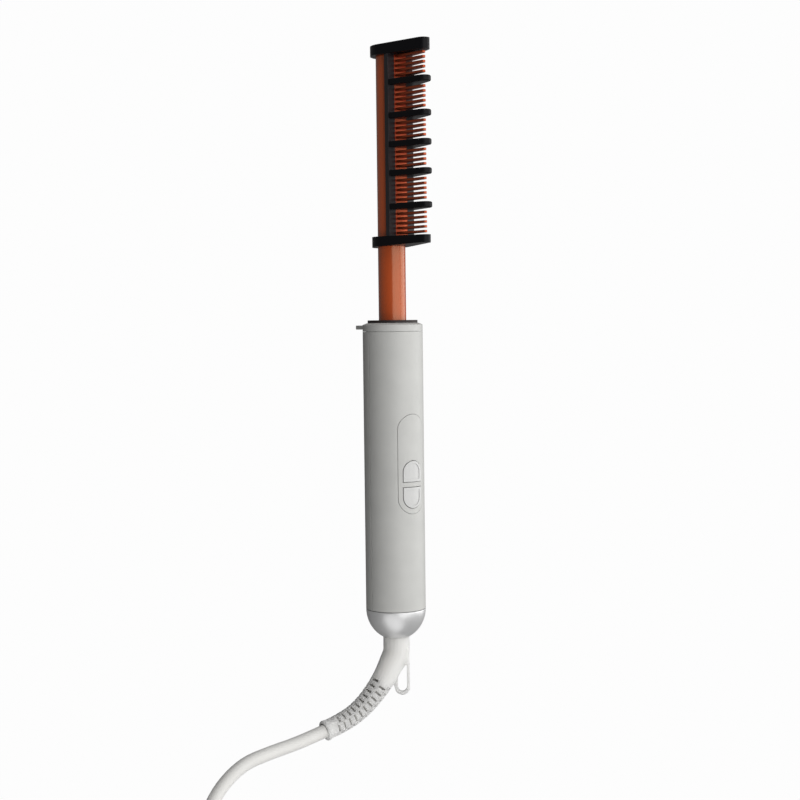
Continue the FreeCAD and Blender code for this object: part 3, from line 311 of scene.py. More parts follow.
# %% Finishes of the outside
satin_silver = finish(
    "satin_silver", (0.56, 0.56, 0.54), 0.52, metallic=0.08, grain=4000, depth=0.10, specular=0.25,
)
gloss_silver = finish("gloss_silver", (0.72, 0.72, 0.72), 0.36, metallic=0.52, grain=1500, depth=0.03)
button_silver = finish("button_silver", (0.57, 0.57, 0.56), 0.48, metallic=0.22, grain=4000, depth=0.06)
black_plastic = finish("black_plastic", (0.004, 0.004, 0.005), 0.36, grain=2500, depth=0.15, specular=0.12)
# Same black plastic as the ribs, but with a lighter, bluish base colour: this is painted light for the rails'
# lit front, on top of their real extra shine.
rail_black_painted_light = finish("rail_black_painted_light", (0.008, 0.007, 0.009), 0.34, grain=2500, depth=0.10, specular=0.4)
dark_insulator = finish("dark_insulator", (0.03, 0.022, 0.02), 0.55, grain=1800, depth=0.3, specular=0.25)
copper_fins = finish("copper_fins", (0.40, 0.085, 0.038), 0.40, metallic=1.0, grain=1500, depth=0.12)
copper_barrel = finish(
    "copper_barrel", (0.48, 0.070, 0.012), 0.20, grain=1500, depth=0.02, stretch=(0.15, 1, 0.15),
    specular=1.0, shine=(1, 0.8, 0.57),
)
cord_grey = finish("cord_grey", (0.80, 0.79, 0.76), 0.50, grain=600, depth=0.02, vary=0.03, powder=0.6)
boot_grey = finish(
    "boot_grey", (0.80, 0.79, 0.76), 0.48, grain=1000, depth=0.03, vary=0.02, inner_glow=1.0, powder=0.7,
)
# Painted shade: a darker copy of the cord's grey, which stands for the shade at the bottom of the boot's slots.
painted_shade_slot_floor = finish("painted_shade_slot_floor", (0.40, 0.395, 0.38), 0.6, grain=1200, depth=0.1, specular=0.2)
print("finishes:", len(bpy.data.materials))

# %% [markdown]
# ## The cord
# A mains lead is a fixed length of something flexible. It leaves the boot, curves away to the left, and the
# length that the picture doesn't show is wound into a coil with a tie, outside the view, as for storage. The
# line is one smooth curve through the same route that the engineering model follows, and the coil's turns are
# more points of that curve.

# %% Route of the cord
CORD_R, COIL_R, COIL_PITCH, COIL_LOW = 3.5, 52.0, 7.6, 4.6
COIL_CENTRE = Vector((-69.2, -326.0, 0))
TURNS_PER_LAYER, POINTS_PER_TURN = 3.125, 24
cord_route = [
    (-58.2, -216.0, 4.3), (-75.3, -218.1, 3.6), (-95.0, -221.4, 3.6), (-112.2, -235.0, 3.6),
    (-120.4, -255.1, 3.8), (-121.1, -288.0, 4.3),
]
tail_route = [
    (-41.2, -378.0, 12.2), (-21.2, -372.5, 10.6), (-6.7, -358.0, 8.4), (-1.2, -338.5, 7.2),
    (-1.2, -322.0, 7.2),
]


def coil_points():
    """The coil winds in on the lower layer, climbs in half a turn, and winds out on the upper one."""
    count = round(2 * TURNS_PER_LAYER * POINTS_PER_TURN)
    for step in range(count + 1):
        turns = step / POINTS_PER_TURN
        from_middle = turns - TURNS_PER_LAYER
        radius = COIL_R - (TURNS_PER_LAYER - abs(from_middle)) * COIL_PITCH
        climb = min(max(2 * from_middle + 0.5, 0), 1)
        angle = math.pi + 2 * math.pi * turns
        height = COIL_LOW + climb * COIL_PITCH
        yield COIL_CENTRE + Vector((radius * math.cos(angle), radius * math.sin(angle), height))


BOOT_TIP = (-43.38, -213.9, -6.66)
tip = REST @ (Vector(BOOT_TIP) * MM)
coil = list(coil_points())
enter, leave = coil[0] + Vector((0, 2 * CORD_R, 0)), coil[-1] + Vector((2 * CORD_R, 0, 0))
route = [tip] + [Vector(spot) * MM for spot in [*cord_route, enter, *coil, leave, *tail_route]]
print("cord route has", len(route), "points")

# %% Helpers for lines
def draw_line(name, kind, spots, steps=6):
    """A new curve through places in metres, and the spline that it consists of."""
    curve = bpy.data.curves.new(name, "CURVE")
    curve.dimensions = "3D"
    line = curve.splines.new(kind)
    line.points.add(len(spots) - 1)
    for point, spot in zip(line.points, spots):
        point.co = (*spot, 1)
    line.order_u = 3
    line.use_endpoint_u = True
    line.resolution_u = steps
    piece = bpy.data.objects.new(name, curve)
    bpy.context.scene.collection.objects.link(piece)
    return piece, line


def thicken(piece, radius, rounds=6):
    """Give a line a round section, of a radius in mm, with closed ends."""
    piece.data.bevel_depth = radius * MM
    piece.data.bevel_resolution = rounds
    piece.data.use_fill_caps = True


def as_mesh(piece):
    only(piece)
    bpy.ops.object.convert(target="MESH")
    return bpy.context.object


# %% Draw the cord
cord, line = draw_line("mains_cord", "NURBS", route)
thicken(cord, CORD_R)
cord.data.materials.append(cord_grey)
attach(cord, "cord_set")
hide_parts("power_cord", "cord_coil", "cord_tail")
print("cord drawn with", len(line.points), "control points")

# %% [markdown]
# ## Floor, backdrop and light
# The picture has a plain white ground. To the camera the floor is plain white, but for a faint shadow, while
# little light comes back from it to the object. That keeps the left of the handle as dark as in the picture.
# Light Path tells the two apart. Shiny surfaces see a share of that white too.

# %% White floor and world
def plain_white(node_tree, lit, seen, mirrored):
    """Mix what a surface gives as light with plain white: one share for the camera, one for reflections."""
    nodes, links = node_tree.nodes, node_tree.links
    rays = nodes.new("ShaderNodeLightPath")
    shiny = nodes.new("ShaderNodeMath")
    shiny.operation = "MAXIMUM"
    links.new(rays.outputs["Is Glossy Ray"], shiny.inputs[0])
    links.new(rays.outputs["Is Transmission Ray"], shiny.inputs[1])
    part = nodes.new("ShaderNodeMath")
    part.operation = "MULTIPLY"
    part.inputs[1].default_value = mirrored
    links.new(shiny.outputs[0], part.inputs[0])
    share = nodes.new("ShaderNodeMath")
    share.operation = "MULTIPLY_ADD"
    share.inputs[1].default_value = seen
    links.new(rays.outputs["Is Camera Ray"], share.inputs[0])
    links.new(part.outputs[0], share.inputs[2])
    white = nodes.new("ShaderNodeEmission" if lit.type == "BSDF_DIFFUSE" else "ShaderNodeBackground")
    white.inputs["Color"].default_value = (1, 1, 1, 1)
    white.inputs["Strength"].default_value = 1.0
    mix = nodes.new("ShaderNodeMixShader")
    links.new(share.outputs[0], mix.inputs["Fac"])
    links.new(lit.outputs[0], mix.inputs[1])
    links.new(white.outputs[0], mix.inputs[2])
    return mix


FLOOR_WHITE, MIRRORED_WHITE = 0.98, 0.15
floor = add("floor", bpy.ops.mesh.primitive_plane_add, size=6.0, location=(0, 0, 0))
floor_white = bpy.data.materials.new("floor_white")
floor_white.use_nodes = True
tree = floor_white.node_tree
tree.nodes.remove(tree.nodes["Principled BSDF"])
pale = tree.nodes.new("ShaderNodeBsdfDiffuse")
pale.inputs["Color"].default_value = (0.1, 0.1, 0.1, 1)
floor_seen = plain_white(tree, pale, FLOOR_WHITE, MIRRORED_WHITE)
tree.links.new(floor_seen.outputs[0], tree.nodes["Material Output"].inputs["Surface"])
floor.data.materials.append(floor_white)
floor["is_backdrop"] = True
world = bpy.data.worlds.new("plain_world")
bpy.context.scene.world = world
world.use_nodes = True
sky = world.node_tree.nodes["Background"]
sky.inputs["Color"].default_value = (1, 1, 1, 1)
sky.inputs["Strength"].default_value = 0.04
out = world.node_tree.nodes["World Output"]
sky_seen = plain_white(world.node_tree, sky, 1.0, MIRRORED_WHITE)
world.node_tree.links.new(sky_seen.outputs[0], out.inputs["Surface"])
print("floor and world are plain white to the camera")

# %% [markdown]
# Four large, soft lamps light the tool. The side lamp, at the right of the picture, draws the bright right edge
# of the handle. The front lamp gives most of the light, from the camera's right. The back lamp, below the
# picture, makes the bright spot on the dome, and the top lamp lights the edge of the collar.

# %% Soft lamps
def lamp(name, spot, size, power):
    """A large square lamp at a place in the tool's frame, in metres, that faces the handle."""
    add(name, bpy.ops.object.light_add, type="AREA")
    light = bpy.context.object
    light.data.size = size
    light.data.energy = power
    from_spot = REST @ Vector(spot)
    aim = (REST @ Vector((0, -0.03, 0))) - from_spot
    light.rotation_euler = aim.to_track_quat("-Z", "Y").to_euler()
    light.location = from_spot
    return light


side_light = level * 0.94 + toward * 0.22 + Vector((0, 0.05, 0))
lamp("side_lamp", side_light, 0.95, 6.2)
front_light = level * 0.62 - toward * 0.78
lamp("front_lamp", front_light, 1.3, 8.6)
back_light = level * -0.2 - toward * 0.35 + Vector((0, -0.63, 0))
lamp("back_lamp", back_light, 0.9, 2.8)
top_light = level * 0.2 - toward * 0.45 + Vector((0, 0.8, 0))
lamp("top_lamp", top_light, 0.5, 2.8)

# %% [markdown]
# ## Handle
# The handle is a tube in two moulded halves that part at the sides, with an oblong window for the control
# panel. A full tube is turned first, then bisected just above and just below the parting plane, so both halves
# share one roundness. The window is cut with an oblong prism.

# %% Oblong prism for the window and panel
PANEL_FRONT, PANEL_REAR, PANEL_W = -48.1, -100.7, 16.3


def oblong(name, grow):
    """A stadium-shaped prism: a circle whose rear half is moved back, then pulled up through the shell."""
    radius = PANEL_W / 2 + grow
    front, rear = PANEL_FRONT - PANEL_W / 2, PANEL_REAR + PANEL_W / 2
    piece = add(
        name, bpy.ops.mesh.primitive_circle_add, vertices=96, radius=radius * MM, fill_type="NGON",
        location=(0, front * MM, 4 * MM),
    )
    edit(piece)
    pick(piece, lambda spot: spot.y < front + 0.001)
    bpy.ops.transform.translate(value=(0, (rear - front) * MM, 0))
    bpy.ops.mesh.select_all(action="SELECT")
    bpy.ops.mesh.extrude_region_move(TRANSFORM_OT_translate={"value": (0, 0, 18 * MM)})
    return tidy(piece)


# %% Two shells
FINE_SIDES, PARTING_HALF, WINDOW_GAP = 192, 0.15, 0.2


def half_tube(name, outer, inner, start, end, keep):
    """One half of a tube, above or below the parting gap."""
    wall = [(outer, start), (outer, end), (inner, end), (inner, start), (outer, start)]
    piece = turned(name, wall, sides=FINE_SIDES)
    edit(piece)
    bpy.ops.mesh.bisect(
        plane_co=(0, 0, keep * PARTING_HALF * MM), plane_no=(0, 0, keep), use_fill=True, clear_inner=True,
    )
    return tidy(piece)


bore = HANDLE_R - SHELL_WALL
front_shell = half_tube("front_shell_skin", HANDLE_R, bore, SHELL_REAR, SHELL_FRONT, 1)
carve(front_shell, oblong("window", WINDOW_GAP))
soften(front_shell, 0.1, segments=2)
hand_over(front_shell, satin_silver, "tool", "satin_silver", "front_shell")
rear_shell = half_tube("rear_shell_skin", HANDLE_R, bore, SHELL_REAR, SHELL_FRONT, -1)
soften(rear_shell, 0.1, segments=2)
hand_over(rear_shell, satin_silver, "tool", "satin_silver", "rear_shell")

# %% [markdown]
# ## Control panel and buttons
# The panel is a piece of the same round surface, set flush in the window with a fine gap all round. Two
# buttons stand in it: each has one straight edge and one round one, and the straight edges face each other.

# %% D-shaped prism for the buttons
BUTTON_R = 5.75
LOWER = (-97.7, -86.7)
UPPER = (-83.7, -72.7)


def button_prism(name, flat, end, grow, low=4.0, height=18.0):
    """A circle at the round end whose other half is squared off at the flat edge, then pulled up."""
    way = 1 if end > flat else -1
    centre = end - way * BUTTON_R
    radius = BUTTON_R + grow
    piece = add(
        name, bpy.ops.mesh.primitive_circle_add, vertices=96, radius=radius * MM, fill_type="NGON",
        location=(0, centre * MM, low * MM),
    )
    edit(piece)
    pick(piece, lambda spot: way * (spot.y - centre) < -0.001)
    bpy.ops.mesh.delete(type="VERT")
    bpy.ops.mesh.select_all(action="SELECT")
    pick(piece, lambda spot: abs(spot.y - centre) < 0.01)
    bpy.ops.mesh.extrude_region_move(
        TRANSFORM_OT_translate={"value": (0, (flat - way * grow - centre) * MM, 0)}
    )
    bpy.ops.mesh.select_all(action="SELECT")
    bpy.ops.mesh.edge_face_add()
    bpy.ops.mesh.select_all(action="SELECT")
    bpy.ops.mesh.extrude_region_move(TRANSFORM_OT_translate={"value": (0, 0, height * MM)})
    return tidy(piece)


# %% Panel
BUTTON_GAP, PANEL_PROUD = 0.3, 0.1


def round_skin(name, outer, inner):
    """A short tube about the axis that reaches past the panel's ends."""
    wall = [(outer, -108), (outer, -40), (inner, -40), (inner, -108), (outer, -108)]
    return turned(name, wall, sides=FINE_SIDES)


panel = round_skin("control_panel_skin", HANDLE_R + PANEL_PROUD, bore - 1.5)
carve(panel, oblong("panel_edge", 0.0), "INTERSECT")
carve(panel, button_prism("upper_hole", UPPER[0], UPPER[1], BUTTON_GAP))
carve(panel, button_prism("lower_hole", LOWER[1], LOWER[0], BUTTON_GAP))
soften(panel, 0.2, segments=2)
hand_over(panel, satin_silver, "tool", "satin_silver", "control_panel")

# %% Buttons
CROWN_R, DISH_R, DISH_RIM, BUTTON_FOOT = HANDLE_R + 0.4, HANDLE_R + 0.12, 1.3, 8.9
for name, flat, end in (("button_upper", UPPER[0], UPPER[1]), ("button_lower", LOWER[1], LOWER[0])):
    crown = [(0.01, -110), (CROWN_R, -110), (CROWN_R, -40), (0.01, -40)]
    cap = turned(name + "_crown", crown, sides=FINE_SIDES)
    edit(cap)
    pick(cap, lambda spot: math.hypot(spot.x, spot.z) < 0.1)
    bpy.ops.mesh.edge_face_add()
    tidy(cap)
    carve(cap, button_prism("edge", flat, end, 0.0, low=BUTTON_FOOT), "INTERSECT")
    soften(cap, 0.45)
    dish = round_skin("dish", HANDLE_R + 3.0, DISH_R)
    carve(dish, button_prism("dish_edge", flat, end, -DISH_RIM), "INTERSECT")
    carve(cap, dish)
    hand_over(cap, button_silver, name, "button_silver", name)

# %% [markdown]
# ## Collar, insulator and barrel
# The collar closes the front of the handle with a chamfered ring, and carries the small foot that keeps the
# hot comb off the table. Inside it sits a dark heat-proof ring, and the copper-coloured barrel comes out of
# that.

# %% Collar and foot
collar = turned("collar_skin", [
    (13.35, 0), (13.7, 0), (16.0, -0.9), (16.0, -4.45), (14.15, -4.45), (14.15, -11.9), (13.35, -11.9),
    (13.35, 0),
], sides=FINE_SIDES)
soften(collar, 0.12)
FOOT_ROOT, FOOT_WIDTH, FOOT_THICK = 14.0, 12.0, 2.2
foot = box(
    "foot", (FOOT_WIDTH, FOOT_THICK, FOOT_REACH - FOOT_ROOT), (0, FOOT_Y, -(FOOT_REACH + FOOT_ROOT) / 2),
)
edit(foot)
bpy.ops.mesh.bisect(
    plane_co=(0, FOOT_Y * MM, (0.02 - FOOT_REACH) * MM), plane_no=(0, math.sin(tilt), math.cos(tilt)),
    use_fill=True, clear_inner=True,
)
tidy(foot)
soften(foot, 0.35)
collar = gather("collar_skin", [collar, foot])
hand_over(collar, satin_silver, "tool", "satin_silver", "collar_ring")

# %% Insulator and barrel
insulator = turned("insulator_skin", [(7.6, 1.5), (13.3, 1.5), (13.3, -11.9), (7.6, -11.9), (7.6, 1.5)])
soften(insulator, 0.3)
hand_over(insulator, dark_insulator, "tool", "dark_insulator", "insulator_ring")
barrel = turned("barrel_skin", [
    (7.3, -37.9), (7.3, 0), (7.3, 40), (7.3, 142.9), (6.1, 142.9), (6.1, -37.9), (7.3, -37.9),
], sides=160)
soften(barrel, 0.2)
hand_over(barrel, copper_barrel, "tool", "copper_barrel", "barrel")

# %% [markdown]
# ## End plates of the comb head
# The base guard and the tip cap are black plates shaped like a drop: round behind the barrel, and drawn out
# to a small round at the teeth. A drop is a circle whose lower part is enlarged and moved to the barrel's
# axis. The plates are then bisected at a slant, as in the picture.

# %% Drop-shaped plates
def drop_plate(name, y_low, y_high, big, small, tip_z, shave):
    """shave is a place and a normal in mm for the slanted face."""
    slant = math.asin((big - small) / tip_z)
    piece = add(
        name, bpy.ops.mesh.primitive_circle_add, vertices=128, radius=small * MM, fill_type="NGON",
        location=(0, y_low * MM, tip_z * MM), rotation=(math.pi / 2, 0, 0),
    )
    edit(piece)
    pick(piece, lambda spot: spot.z - tip_z < small * math.sin(slant))
    grow = big / small
    bpy.ops.transform.resize(value=(grow, 1, grow), center_override=(0, y_low * MM, tip_z * MM))
    bpy.ops.transform.translate(value=(0, 0, -tip_z * MM))
    bpy.ops.mesh.select_all(action="SELECT")
    bpy.ops.mesh.extrude_region_move(TRANSFORM_OT_translate={"value": (0, (y_high - y_low) * MM, 0)})
    bpy.ops.mesh.select_all(action="SELECT")
    spot, normal = shave
    bpy.ops.mesh.bisect(
        plane_co=[part * MM for part in spot], plane_no=normal, use_fill=True, clear_outer=True,
    )
    return tidy(piece)


# %% Base guard and tip cap
GUARD_LOW, GUARD_TOP, CAP_BASE, CAP_TOP = 40.0, 45.6, 140.5, 146.4
guard_rise = math.atan(1.5 / (10.3 + 31.1))
guard = drop_plate(
    "base_guard_skin", GUARD_LOW, GUARD_TOP, 10.3, 3.3, 27.8,
    ((0, GUARD_LOW, -10.3), (0, -math.cos(guard_rise), math.sin(guard_rise))),
)
hole = turned("hole", [(7.35, 30), (7.35, 60), (0.01, 60), (0.01, 30), (7.35, 30)])
carve(guard, hole)
soften(guard, 0.7)
hand_over(guard, black_plastic, "tool", "black_plastic", "base_guard")
cap_rise = math.atan(0.8 / (10.2 + 31.7))
cap = drop_plate(
    "tip_cap_skin", CAP_BASE, CAP_TOP, 10.2, 3.5, 28.2,
    ((0, CAP_TOP - 0.8, -10.2), (0, math.cos(cap_rise), -math.sin(cap_rise))),
)
hole = turned("hole", [(7.35, 130), (7.35, 143.05), (0.01, 143.05), (0.01, 130), (7.35, 130)])
carve(cap, hole)
hole = turned("hole", [(2.85, 145.5), (2.85, 150), (0.01, 150), (0.01, 145.5), (2.85, 145.5)])
carve(cap, hole)
soften(cap, 0.7)
hand_over(cap, black_plastic, "tool", "black_plastic", "tip_cap")

# %% [markdown]
# ## Heated fins and guard ribs
# Fins and ribs share one shape, a flat prong that tapers from a straight root to a round tip. It starts as a
# circle at the tip, and the lower halves of that circle are gathered into the two corners of the root. A fin is
# copied along its row with an Array; a thicker black rib stands between every two rows. The rails that carry
# the ribs lie against the barrel, and are a piece of their own. They shine more, and their black is painted a
# shade lighter as painted light on their lit front.

# %% Helper for prongs
def prong(name, middle, thick, half, root, tip_radius, tip_z, sides, soft):
    """A tapered plate across the axis, about a place along it, in mm."""
    low = middle - thick / 2
    reach = tip_z - root
    lean = math.atan2(half, reach) - math.asin(tip_radius / math.hypot(half, reach))
    piece = add(
        name, bpy.ops.mesh.primitive_circle_add, vertices=sides, radius=tip_radius * MM, fill_type="NGON",
        location=(0, low * MM, tip_z * MM), rotation=(math.pi / 2, 0, 0),
    )
    edit(piece)
    under = tip_z + tip_radius * math.sin(lean) - 0.05
    for side in (-1, 1):
        pick(piece, lambda spot: spot.z < under and side * spot.x > -0.001 and spot.z > root + 5)
        bpy.ops.transform.resize(value=(0, 0, 0), center_override=(0, low * MM, tip_z * MM))
        bpy.ops.transform.translate(value=(side * half * MM, 0, (root - tip_z) * MM))
    bpy.ops.mesh.select_all(action="SELECT")
    bpy.ops.mesh.remove_doubles(threshold=0.004 * MM)
    bpy.ops.mesh.select_all(action="SELECT")
    bpy.ops.mesh.extrude_region_move(TRANSFORM_OT_translate={"value": (0, thick * MM, 0)})
    return soften(tidy(piece), soft)


# %% Fins
PITCH, FIRST_TOOTH, ROWS = 2.49, GUARD_TOP + 1.64, (5, 5, 4, 4, 5, 5)
FIN_HALF, STRIP_HALF, STRIP_TOP, COMB_MIDDLE = 3.35, 3.85, 8.9, (GUARD_TOP + CAP_BASE) / 2
strip = box("strip", (2 * STRIP_HALF, 94.5, 2.6), (0, COMB_MIDDLE, STRIP_TOP - 1.3))
rows, rib_places, start = [strip], [], 0
for count in ROWS:
    fin = prong("fin", FIRST_TOOTH + start * PITCH, 1.25, FIN_HALF, STRIP_TOP - 0.1, 1.3, 28.1, 32, 0.2)
    modify(
        fin, "ARRAY", count=count, use_relative_offset=False, use_constant_offset=True,
        constant_offset_displace=(0, PITCH * MM, 0),
    )
    rows.append(fin)
    start += count + 2
    rib_places.append(FIRST_TOOTH + (start - 1.5) * PITCH)
fins = gather("heated_fin_skin", rows)
hand_over(fins, copper_fins, "tool", "copper_fins", "heated_fin_comb")

# %% Ribs and rails
RAIL_HALF, RAIL_BACK, RAIL_FRONT = 8.3, 6.05, 9.05
ribs = [prong("rib", place, 3.2, RAIL_HALF, RAIL_FRONT, 3.8, 28.5, 64, 0.8) for place in rib_places[:-1]]
rails = []
for side in (-1, 1):
    width = RAIL_HALF - STRIP_HALF - 0.05
    rail = box(
        "rail", (width, CAP_BASE - GUARD_TOP, RAIL_FRONT - RAIL_BACK),
        (side * (RAIL_HALF - width / 2), COMB_MIDDLE, (RAIL_FRONT + RAIL_BACK) / 2),
    )
    hole = turned("hole", [(7.35, 20), (7.35, 170), (0.01, 170), (0.01, 20), (7.35, 20)])
    carve(rail, hole)
    rails.append(soften(rail, 0.3, segments=2))
# The rails get the lighter black, which is painted light on their front faces.
hand_over(gather("comb_rail_skin", rails), rail_black_painted_light, "tool", "black_plastic")
hand_over(gather("comb_frame_skin", ribs), black_plastic, "tool", "black_plastic", "comb_frame")

# %% [markdown]
# ## End cap
# The handle ends in a glossy dome with a round mouth, in which the neck of the cord's boot turns. The profile
# is a quarter of an ellipse, turned like the other round pieces, with an inner wall.

# %% Dome with its mouth
DOME_FRONT, DOME_DEPTH, MOUTH_R = -152.9, 16.9, 7.3


def dome_profile(radius, depth, steps):
    last = math.acos(MOUTH_R / radius)
    for step in range(steps + 1):
        angle = last * step / steps
        yield radius * math.cos(angle), DOME_FRONT - depth * math.sin(angle)


outside = list(dome_profile(HANDLE_R, DOME_DEPTH, 28))
inside = list(dome_profile(bore, DOME_DEPTH - SHELL_WALL, 16))
dome = turned("end_cap_skin", [*outside, *reversed(inside), outside[0]], sides=FINE_SIDES)
soften(dome, 0.25, segments=2)
hand_over(dome, gloss_silver, "tool", "gloss_silver", "end_cap")

# %% [markdown]
# ## Cord boot
# The boot is one soft moulding: a straight neck, a bent and slotted strain relief, and a flat hang loop. The
# neck and relief are a tapered tube along a smooth line, the loop is a flat plate with a drop-shaped hole, and
# a voxel remesh melts them into one skin, as the mould does. The slots are cut last, in six staggered rows.

# %% Neck and strain relief
NECK_END = -176.7
boot_line = [
    (0, -156.75, 0), (0, -167, 0), (0, -173.1, 0), (0, NECK_END, 0), (-1.69, -179.86, -0.36),
    (-7.86, -191.34, -1.68), (-18.42, -203.34, -3.78), (-30.12, -210.6, -5.58), BOOT_TIP,
]
boot_sizes = [7.1, 7.1, 7.1, 7.1, 6.9, 6.2, 5.6, 5.25, 5.15]
boot_places = [[part * MM for part in spot] for spot in boot_line]
boot, line = draw_line("cord_boot_skin", "NURBS", boot_places, steps=10)
for point, size in zip(line.points, boot_sizes):
    point.radius = size
traced = bpy.data.meshes.new_from_object(boot)
boot_spots = [vertex.co / MM for vertex in traced.vertices]
thicken(boot, 1.0, rounds=10)
boot = as_mesh(boot)
print("boot line traced with", len(boot_spots), "points")

# %% Hang loop
LOOP_TURN = math.radians(38)
loop_side = Vector((math.cos(LOOP_TURN), 0, math.sin(LOOP_TURN)))
loop_face = Vector((-math.sin(LOOP_TURN), 0, math.cos(LOOP_TURN)))
LOOP_LOW, LOOP_MID, LOOP_HOLE, LOOP_WALL, LOOP_THICK = NECK_END - 19.0, 3.0, 2.4, 1.75, 4.0
RIM_R, RIM_LENGTH = 5.45, 1.8


def loop_plate(name, radius, corners, thick):
    """A circle whose upper half is opened and led up through corner points, then given its thickness."""
    piece = add(
        name, bpy.ops.mesh.primitive_circle_add, vertices=64, radius=radius * MM,
        location=(LOOP_MID * MM, LOOP_LOW * MM, -thick / 2 * MM),
    )
    edit(piece)
    pick(piece, lambda spot: spot.y > LOOP_LOW + 0.01)
    bpy.ops.mesh.delete(type="VERT")
    bpy.ops.mesh.select_all(action="DESELECT")
    pick(piece, lambda spot: abs(spot.y - LOOP_LOW) < 0.02 and spot.x > LOOP_MID)
    here = Vector((LOOP_MID + radius, LOOP_LOW))
    for corner in corners:
        step = Vector(corner) - here
        bpy.ops.mesh.extrude_region_move(TRANSFORM_OT_translate={"value": (step.x * MM, step.y * MM, 0)})
        here = Vector(corner)
    bpy.ops.mesh.select_all(action="SELECT")
    bpy.ops.mesh.edge_face_add()
    bpy.ops.mesh.select_all(action="SELECT")
    bpy.ops.mesh.extrude_region_move(TRANSFORM_OT_translate={"value": (0, 0, thick * MM)})
    return tidy(piece)


plate = loop_plate("loop", LOOP_HOLE + LOOP_WALL, [
    (6.9, NECK_END), (6.9, NECK_END + 6), (-5.3, NECK_END + 6), (-5.3, NECK_END - 9.0),
], LOOP_THICK)
carve(plate, loop_plate("loop_hole", LOOP_HOLE, [
    (LOOP_MID + 2.45, NECK_END - 7.5), (LOOP_MID + 2.5, NECK_END - 6.0),
    (LOOP_MID - LOOP_HOLE, LOOP_LOW + 6.3),
], LOOP_THICK + 4))
web = box("web", (6.4, 9.5, 9.0), (3.6, NECK_END - 1.25, 0))
edit(web)
pick(web, lambda spot: spot.y < NECK_END - 3)
bpy.ops.transform.resize(value=(1, 1, 0.72), center_override=(0, 0, 0))
tidy(web)
for piece in (plate, web):
    piece.matrix_world = Matrix((loop_side, Vector((0, 1, 0)), loop_face)).transposed().to_4x4()

# %% Rim, and one skin over all
way_out = (Vector(BOOT_TIP) - Vector(boot_line[-2])).normalized()
rim = add(
    "rim", bpy.ops.mesh.primitive_cylinder_add, vertices=96, radius=RIM_R * MM, depth=RIM_LENGTH * MM,
    location=(Vector(BOOT_TIP) - way_out * RIM_LENGTH / 2) * MM,
    rotation=way_out.to_track_quat("Z", "Y").to_euler(),
)
boot = gather("cord_boot_skin", [boot, plate, web, rim])
modify(boot, "REMESH", mode="VOXEL", voxel_size=0.36 * MM)
modify(boot, "SMOOTH", factor=0.5, iterations=6)
print("boot skin has", len(boot.data.polygons), "faces")

# %% [markdown]
# The slots let the strain relief bend. Each is a small block laid across the boot's line, half sunk in its
# surface. Along a row they stand at an even pitch, and neighbouring rows are shifted by half of it.

# %% Slots in the strain relief
SLOT_ROWS, SLOT_STEPS, SLOT_START, SLOT_PITCH = 6, 10, 6.6, 3.6
SLOT_SIZE, SLOT_OUT, SLOT_TURN = (1.2, 4.2, 4.4), 5.8, -15


def along_boot(distance_from_tip):
    """Place and direction on the traced line, by distance back from its tip in mm."""
    for before, after in zip(boot_spots[::-1], boot_spots[-2::-1]):
        length = (after - before).length
        if distance_from_tip <= length:
            return before.lerp(after, distance_from_tip / length), (before - after).normalized()
        distance_from_tip -= length


slots = []
for step in range(SLOT_STEPS):
    for row in range(SLOT_ROWS):
        spot, way = along_boot(SLOT_START + (step + row % 2 / 2) * SLOT_PITCH)
        out_of = (-toward - way * (-toward).dot(way)).normalized()
        turn_by = math.radians(360 / SLOT_ROWS * row + SLOT_TURN)
        out_of = Matrix.Rotation(turn_by, 3, way) @ out_of
        across = out_of.cross(way)
        slot = box("slot", SLOT_SIZE, (0, 0, 0))
        frame_of = Matrix((way, across, out_of)).transposed().to_4x4()
        frame_of.translation = (spot + out_of * SLOT_OUT) * MM
        slot.matrix_world = frame_of
        slots.append(slot)
carve(boot, gather("slots", slots))
hand_over(boot, boot_grey, "cord_set", "cord_grey", "cord_boot", angle=40)

# %% [markdown]
# Through the slots one sees the cord's jacket, which lies in the shade of the boot. It is a plain tube along
# the same line. Its grey is darker than the cord's own grey: this is painted shade, so that the slots read
# dark.

# %% Jacket in painted shade at the bottom of the slots
JACKET_R = 4.0
jacket_spots = [[part * MM for part in spot] for spot in boot_spots if spot.y < NECK_END]
jacket, line = draw_line("boot_jacket_skin", "POLY", jacket_spots)
thicken(jacket, JACKET_R)
jacket = as_mesh(jacket)
edit(jacket)
tidy(jacket)
# The jacket's darker grey is painted shade. Really it is the cord's own light grey.
hand_over(jacket, painted_shade_slot_floor, "cord_set", "cord_grey")

# %% [markdown]
# ## Plug, pins and tie
# They lie outside the picture, but the object is judged from all sides. The plug is a soft block with a ribbed
# relief, its pins have rounded ends, and a flat band holds the coil together.

# %% Plug
ENTRY = Vector(tail_route[-1])
PIN_APART = 19.0
ribbed = [
    (4.5 + 0.08 * y + (0.0 if step % 2 else 0.35), y) for step, y in enumerate((1, 3, 4, 6, 7, 9, 10, 12))
]
relief = turned("plug_relief", [(4.4, 0), *ribbed, (5.6, 14), (5.6, 16)], sides=64)
body = box("plug_block", (25.0, 28.0, 14.0), (0, 28.0, 0))
soften(body, 4.2, segments=5, angle=30)
plug = gather("plug_skin", [relief, body])
plug.matrix_world = Matrix.Translation(ENTRY * MM)
hand_over(plug, boot_grey, "cord_set", "cord_grey", "plug_body", laid=False)

# %% Pins
pins = []
for side in (-1, 1):
    pin = turned("pin", [(2.0, 42), (2.0, 59.4), (1.7, 60.4), (1.0, 61.0), (0.01, 61.0)], sides=32)
    pin.matrix_world = Matrix.Translation((ENTRY + Vector((side * PIN_APART / 2, 0, 0))) * MM)
    pins.append(pin)
pin_metal = finish("pin_metal", (0.70, 0.62, 0.45), 0.28, metallic=1.0, grain=800, depth=0.05)
pins = gather("plug_pin_skin", pins)
hand_over(pins, pin_metal, "cord_set", "pin_brass", "plug_pins", laid=False)

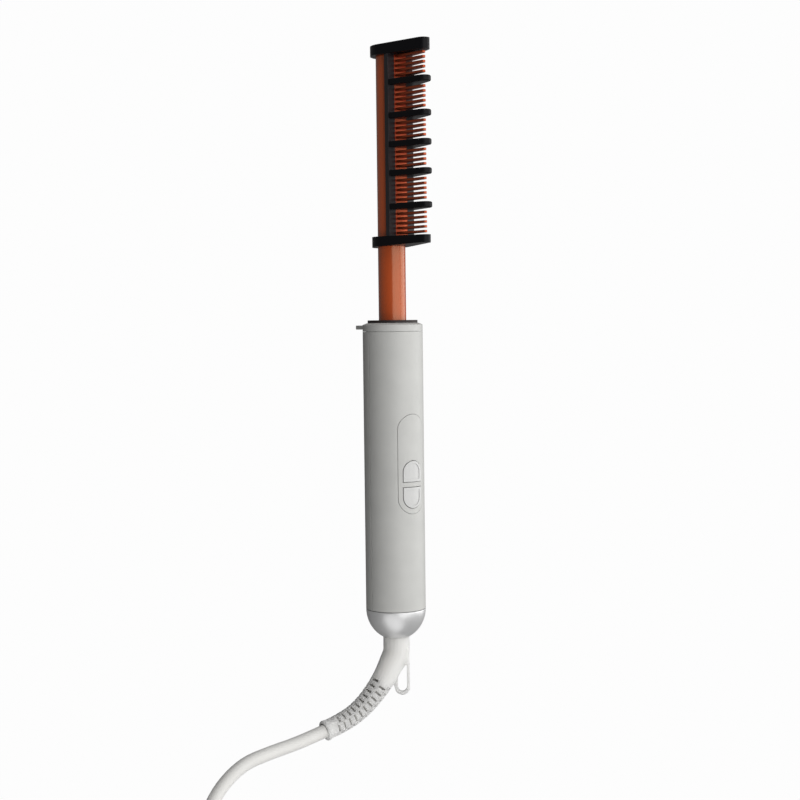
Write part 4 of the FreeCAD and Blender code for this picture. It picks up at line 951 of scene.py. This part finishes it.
# %% Tie
TIE_THICK, TIE_GAP, TIE_WIDTH = 0.8, 0.3, 5.0
inner = COIL_R - TURNS_PER_LAYER * COIL_PITCH - CORD_R - TIE_GAP
width, height = COIL_R + CORD_R + TIE_GAP - inner, COIL_PITCH + 2 * (CORD_R + TIE_GAP)
band = box(
    "cord_tie_skin", (width + 2 * TIE_THICK, TIE_WIDTH, height + 2 * TIE_THICK),
    (inner + width / 2, 0, height / 2),
)
carve(band, box("room", (width, 2 * TIE_WIDTH, height), (inner + width / 2, 0, height / 2)))
soften(band, 0.35, segments=2)
lifted = Matrix.Translation((COIL_CENTRE + Vector((0, 0, TIE_THICK))) * MM)
band.matrix_world = lifted @ Matrix.Rotation(math.pi / 4, 4, "Z")
hand_over(band, black_plastic, "cord_set", "black_plastic", "cord_tie", laid=False)

# %% [markdown]
# ## Pieces inside
# What lies inside the handle and the barrel shows only through fine gaps, and keeps its engineering shape. It
# still gets a finish of its own, by what it is made of.

# %% Finishes for the inside pieces
board_green = finish("board_green", (0.03, 0.16, 0.06), 0.4, grain=900, depth=0.1)
bare_metal = finish("bare_metal", (0.62, 0.62, 0.63), 0.34, metallic=0.9, grain=1500, depth=0.1)
white_parts = finish("white_parts", (0.78, 0.77, 0.74), 0.5, grain=1500, depth=0.1)
amber_parts = finish("amber_parts", (0.50, 0.26, 0.05), 0.3, grain=1500, depth=0.05)
inside_finishes = {
    "plain_aluminium": bare_metal, "plain_steel": bare_metal, "white_ceramic": white_parts,
    "white_plastic": white_parts, "wire_white": white_parts, "board_green": board_green,
    "amber_film": amber_parts, "yellow_box": amber_parts, "dark_insulator": dark_insulator,
    "black_plastic": black_plastic,
}
dressed = 0
for entry in frame["record"]["subparts"]:
    node = frame["nodes"][entry["node"]]
    if not node.hide_render:
        node.data.materials.clear()
        node.data.materials.append(inside_finishes[entry["material_slot"]])
        dressed += 1
print("inside pieces dressed:", dressed)

# %% [markdown]
# The two boxes are kept, so that the dressed object can be compared with the engineering model.

# %% Measure the two boxes
boxes = {"cad": cad_box, "visual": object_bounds()}
boxes = {name: [list(corner) for corner in corners] for name, corners in boxes.items()}
print("boxes in metres:", boxes)
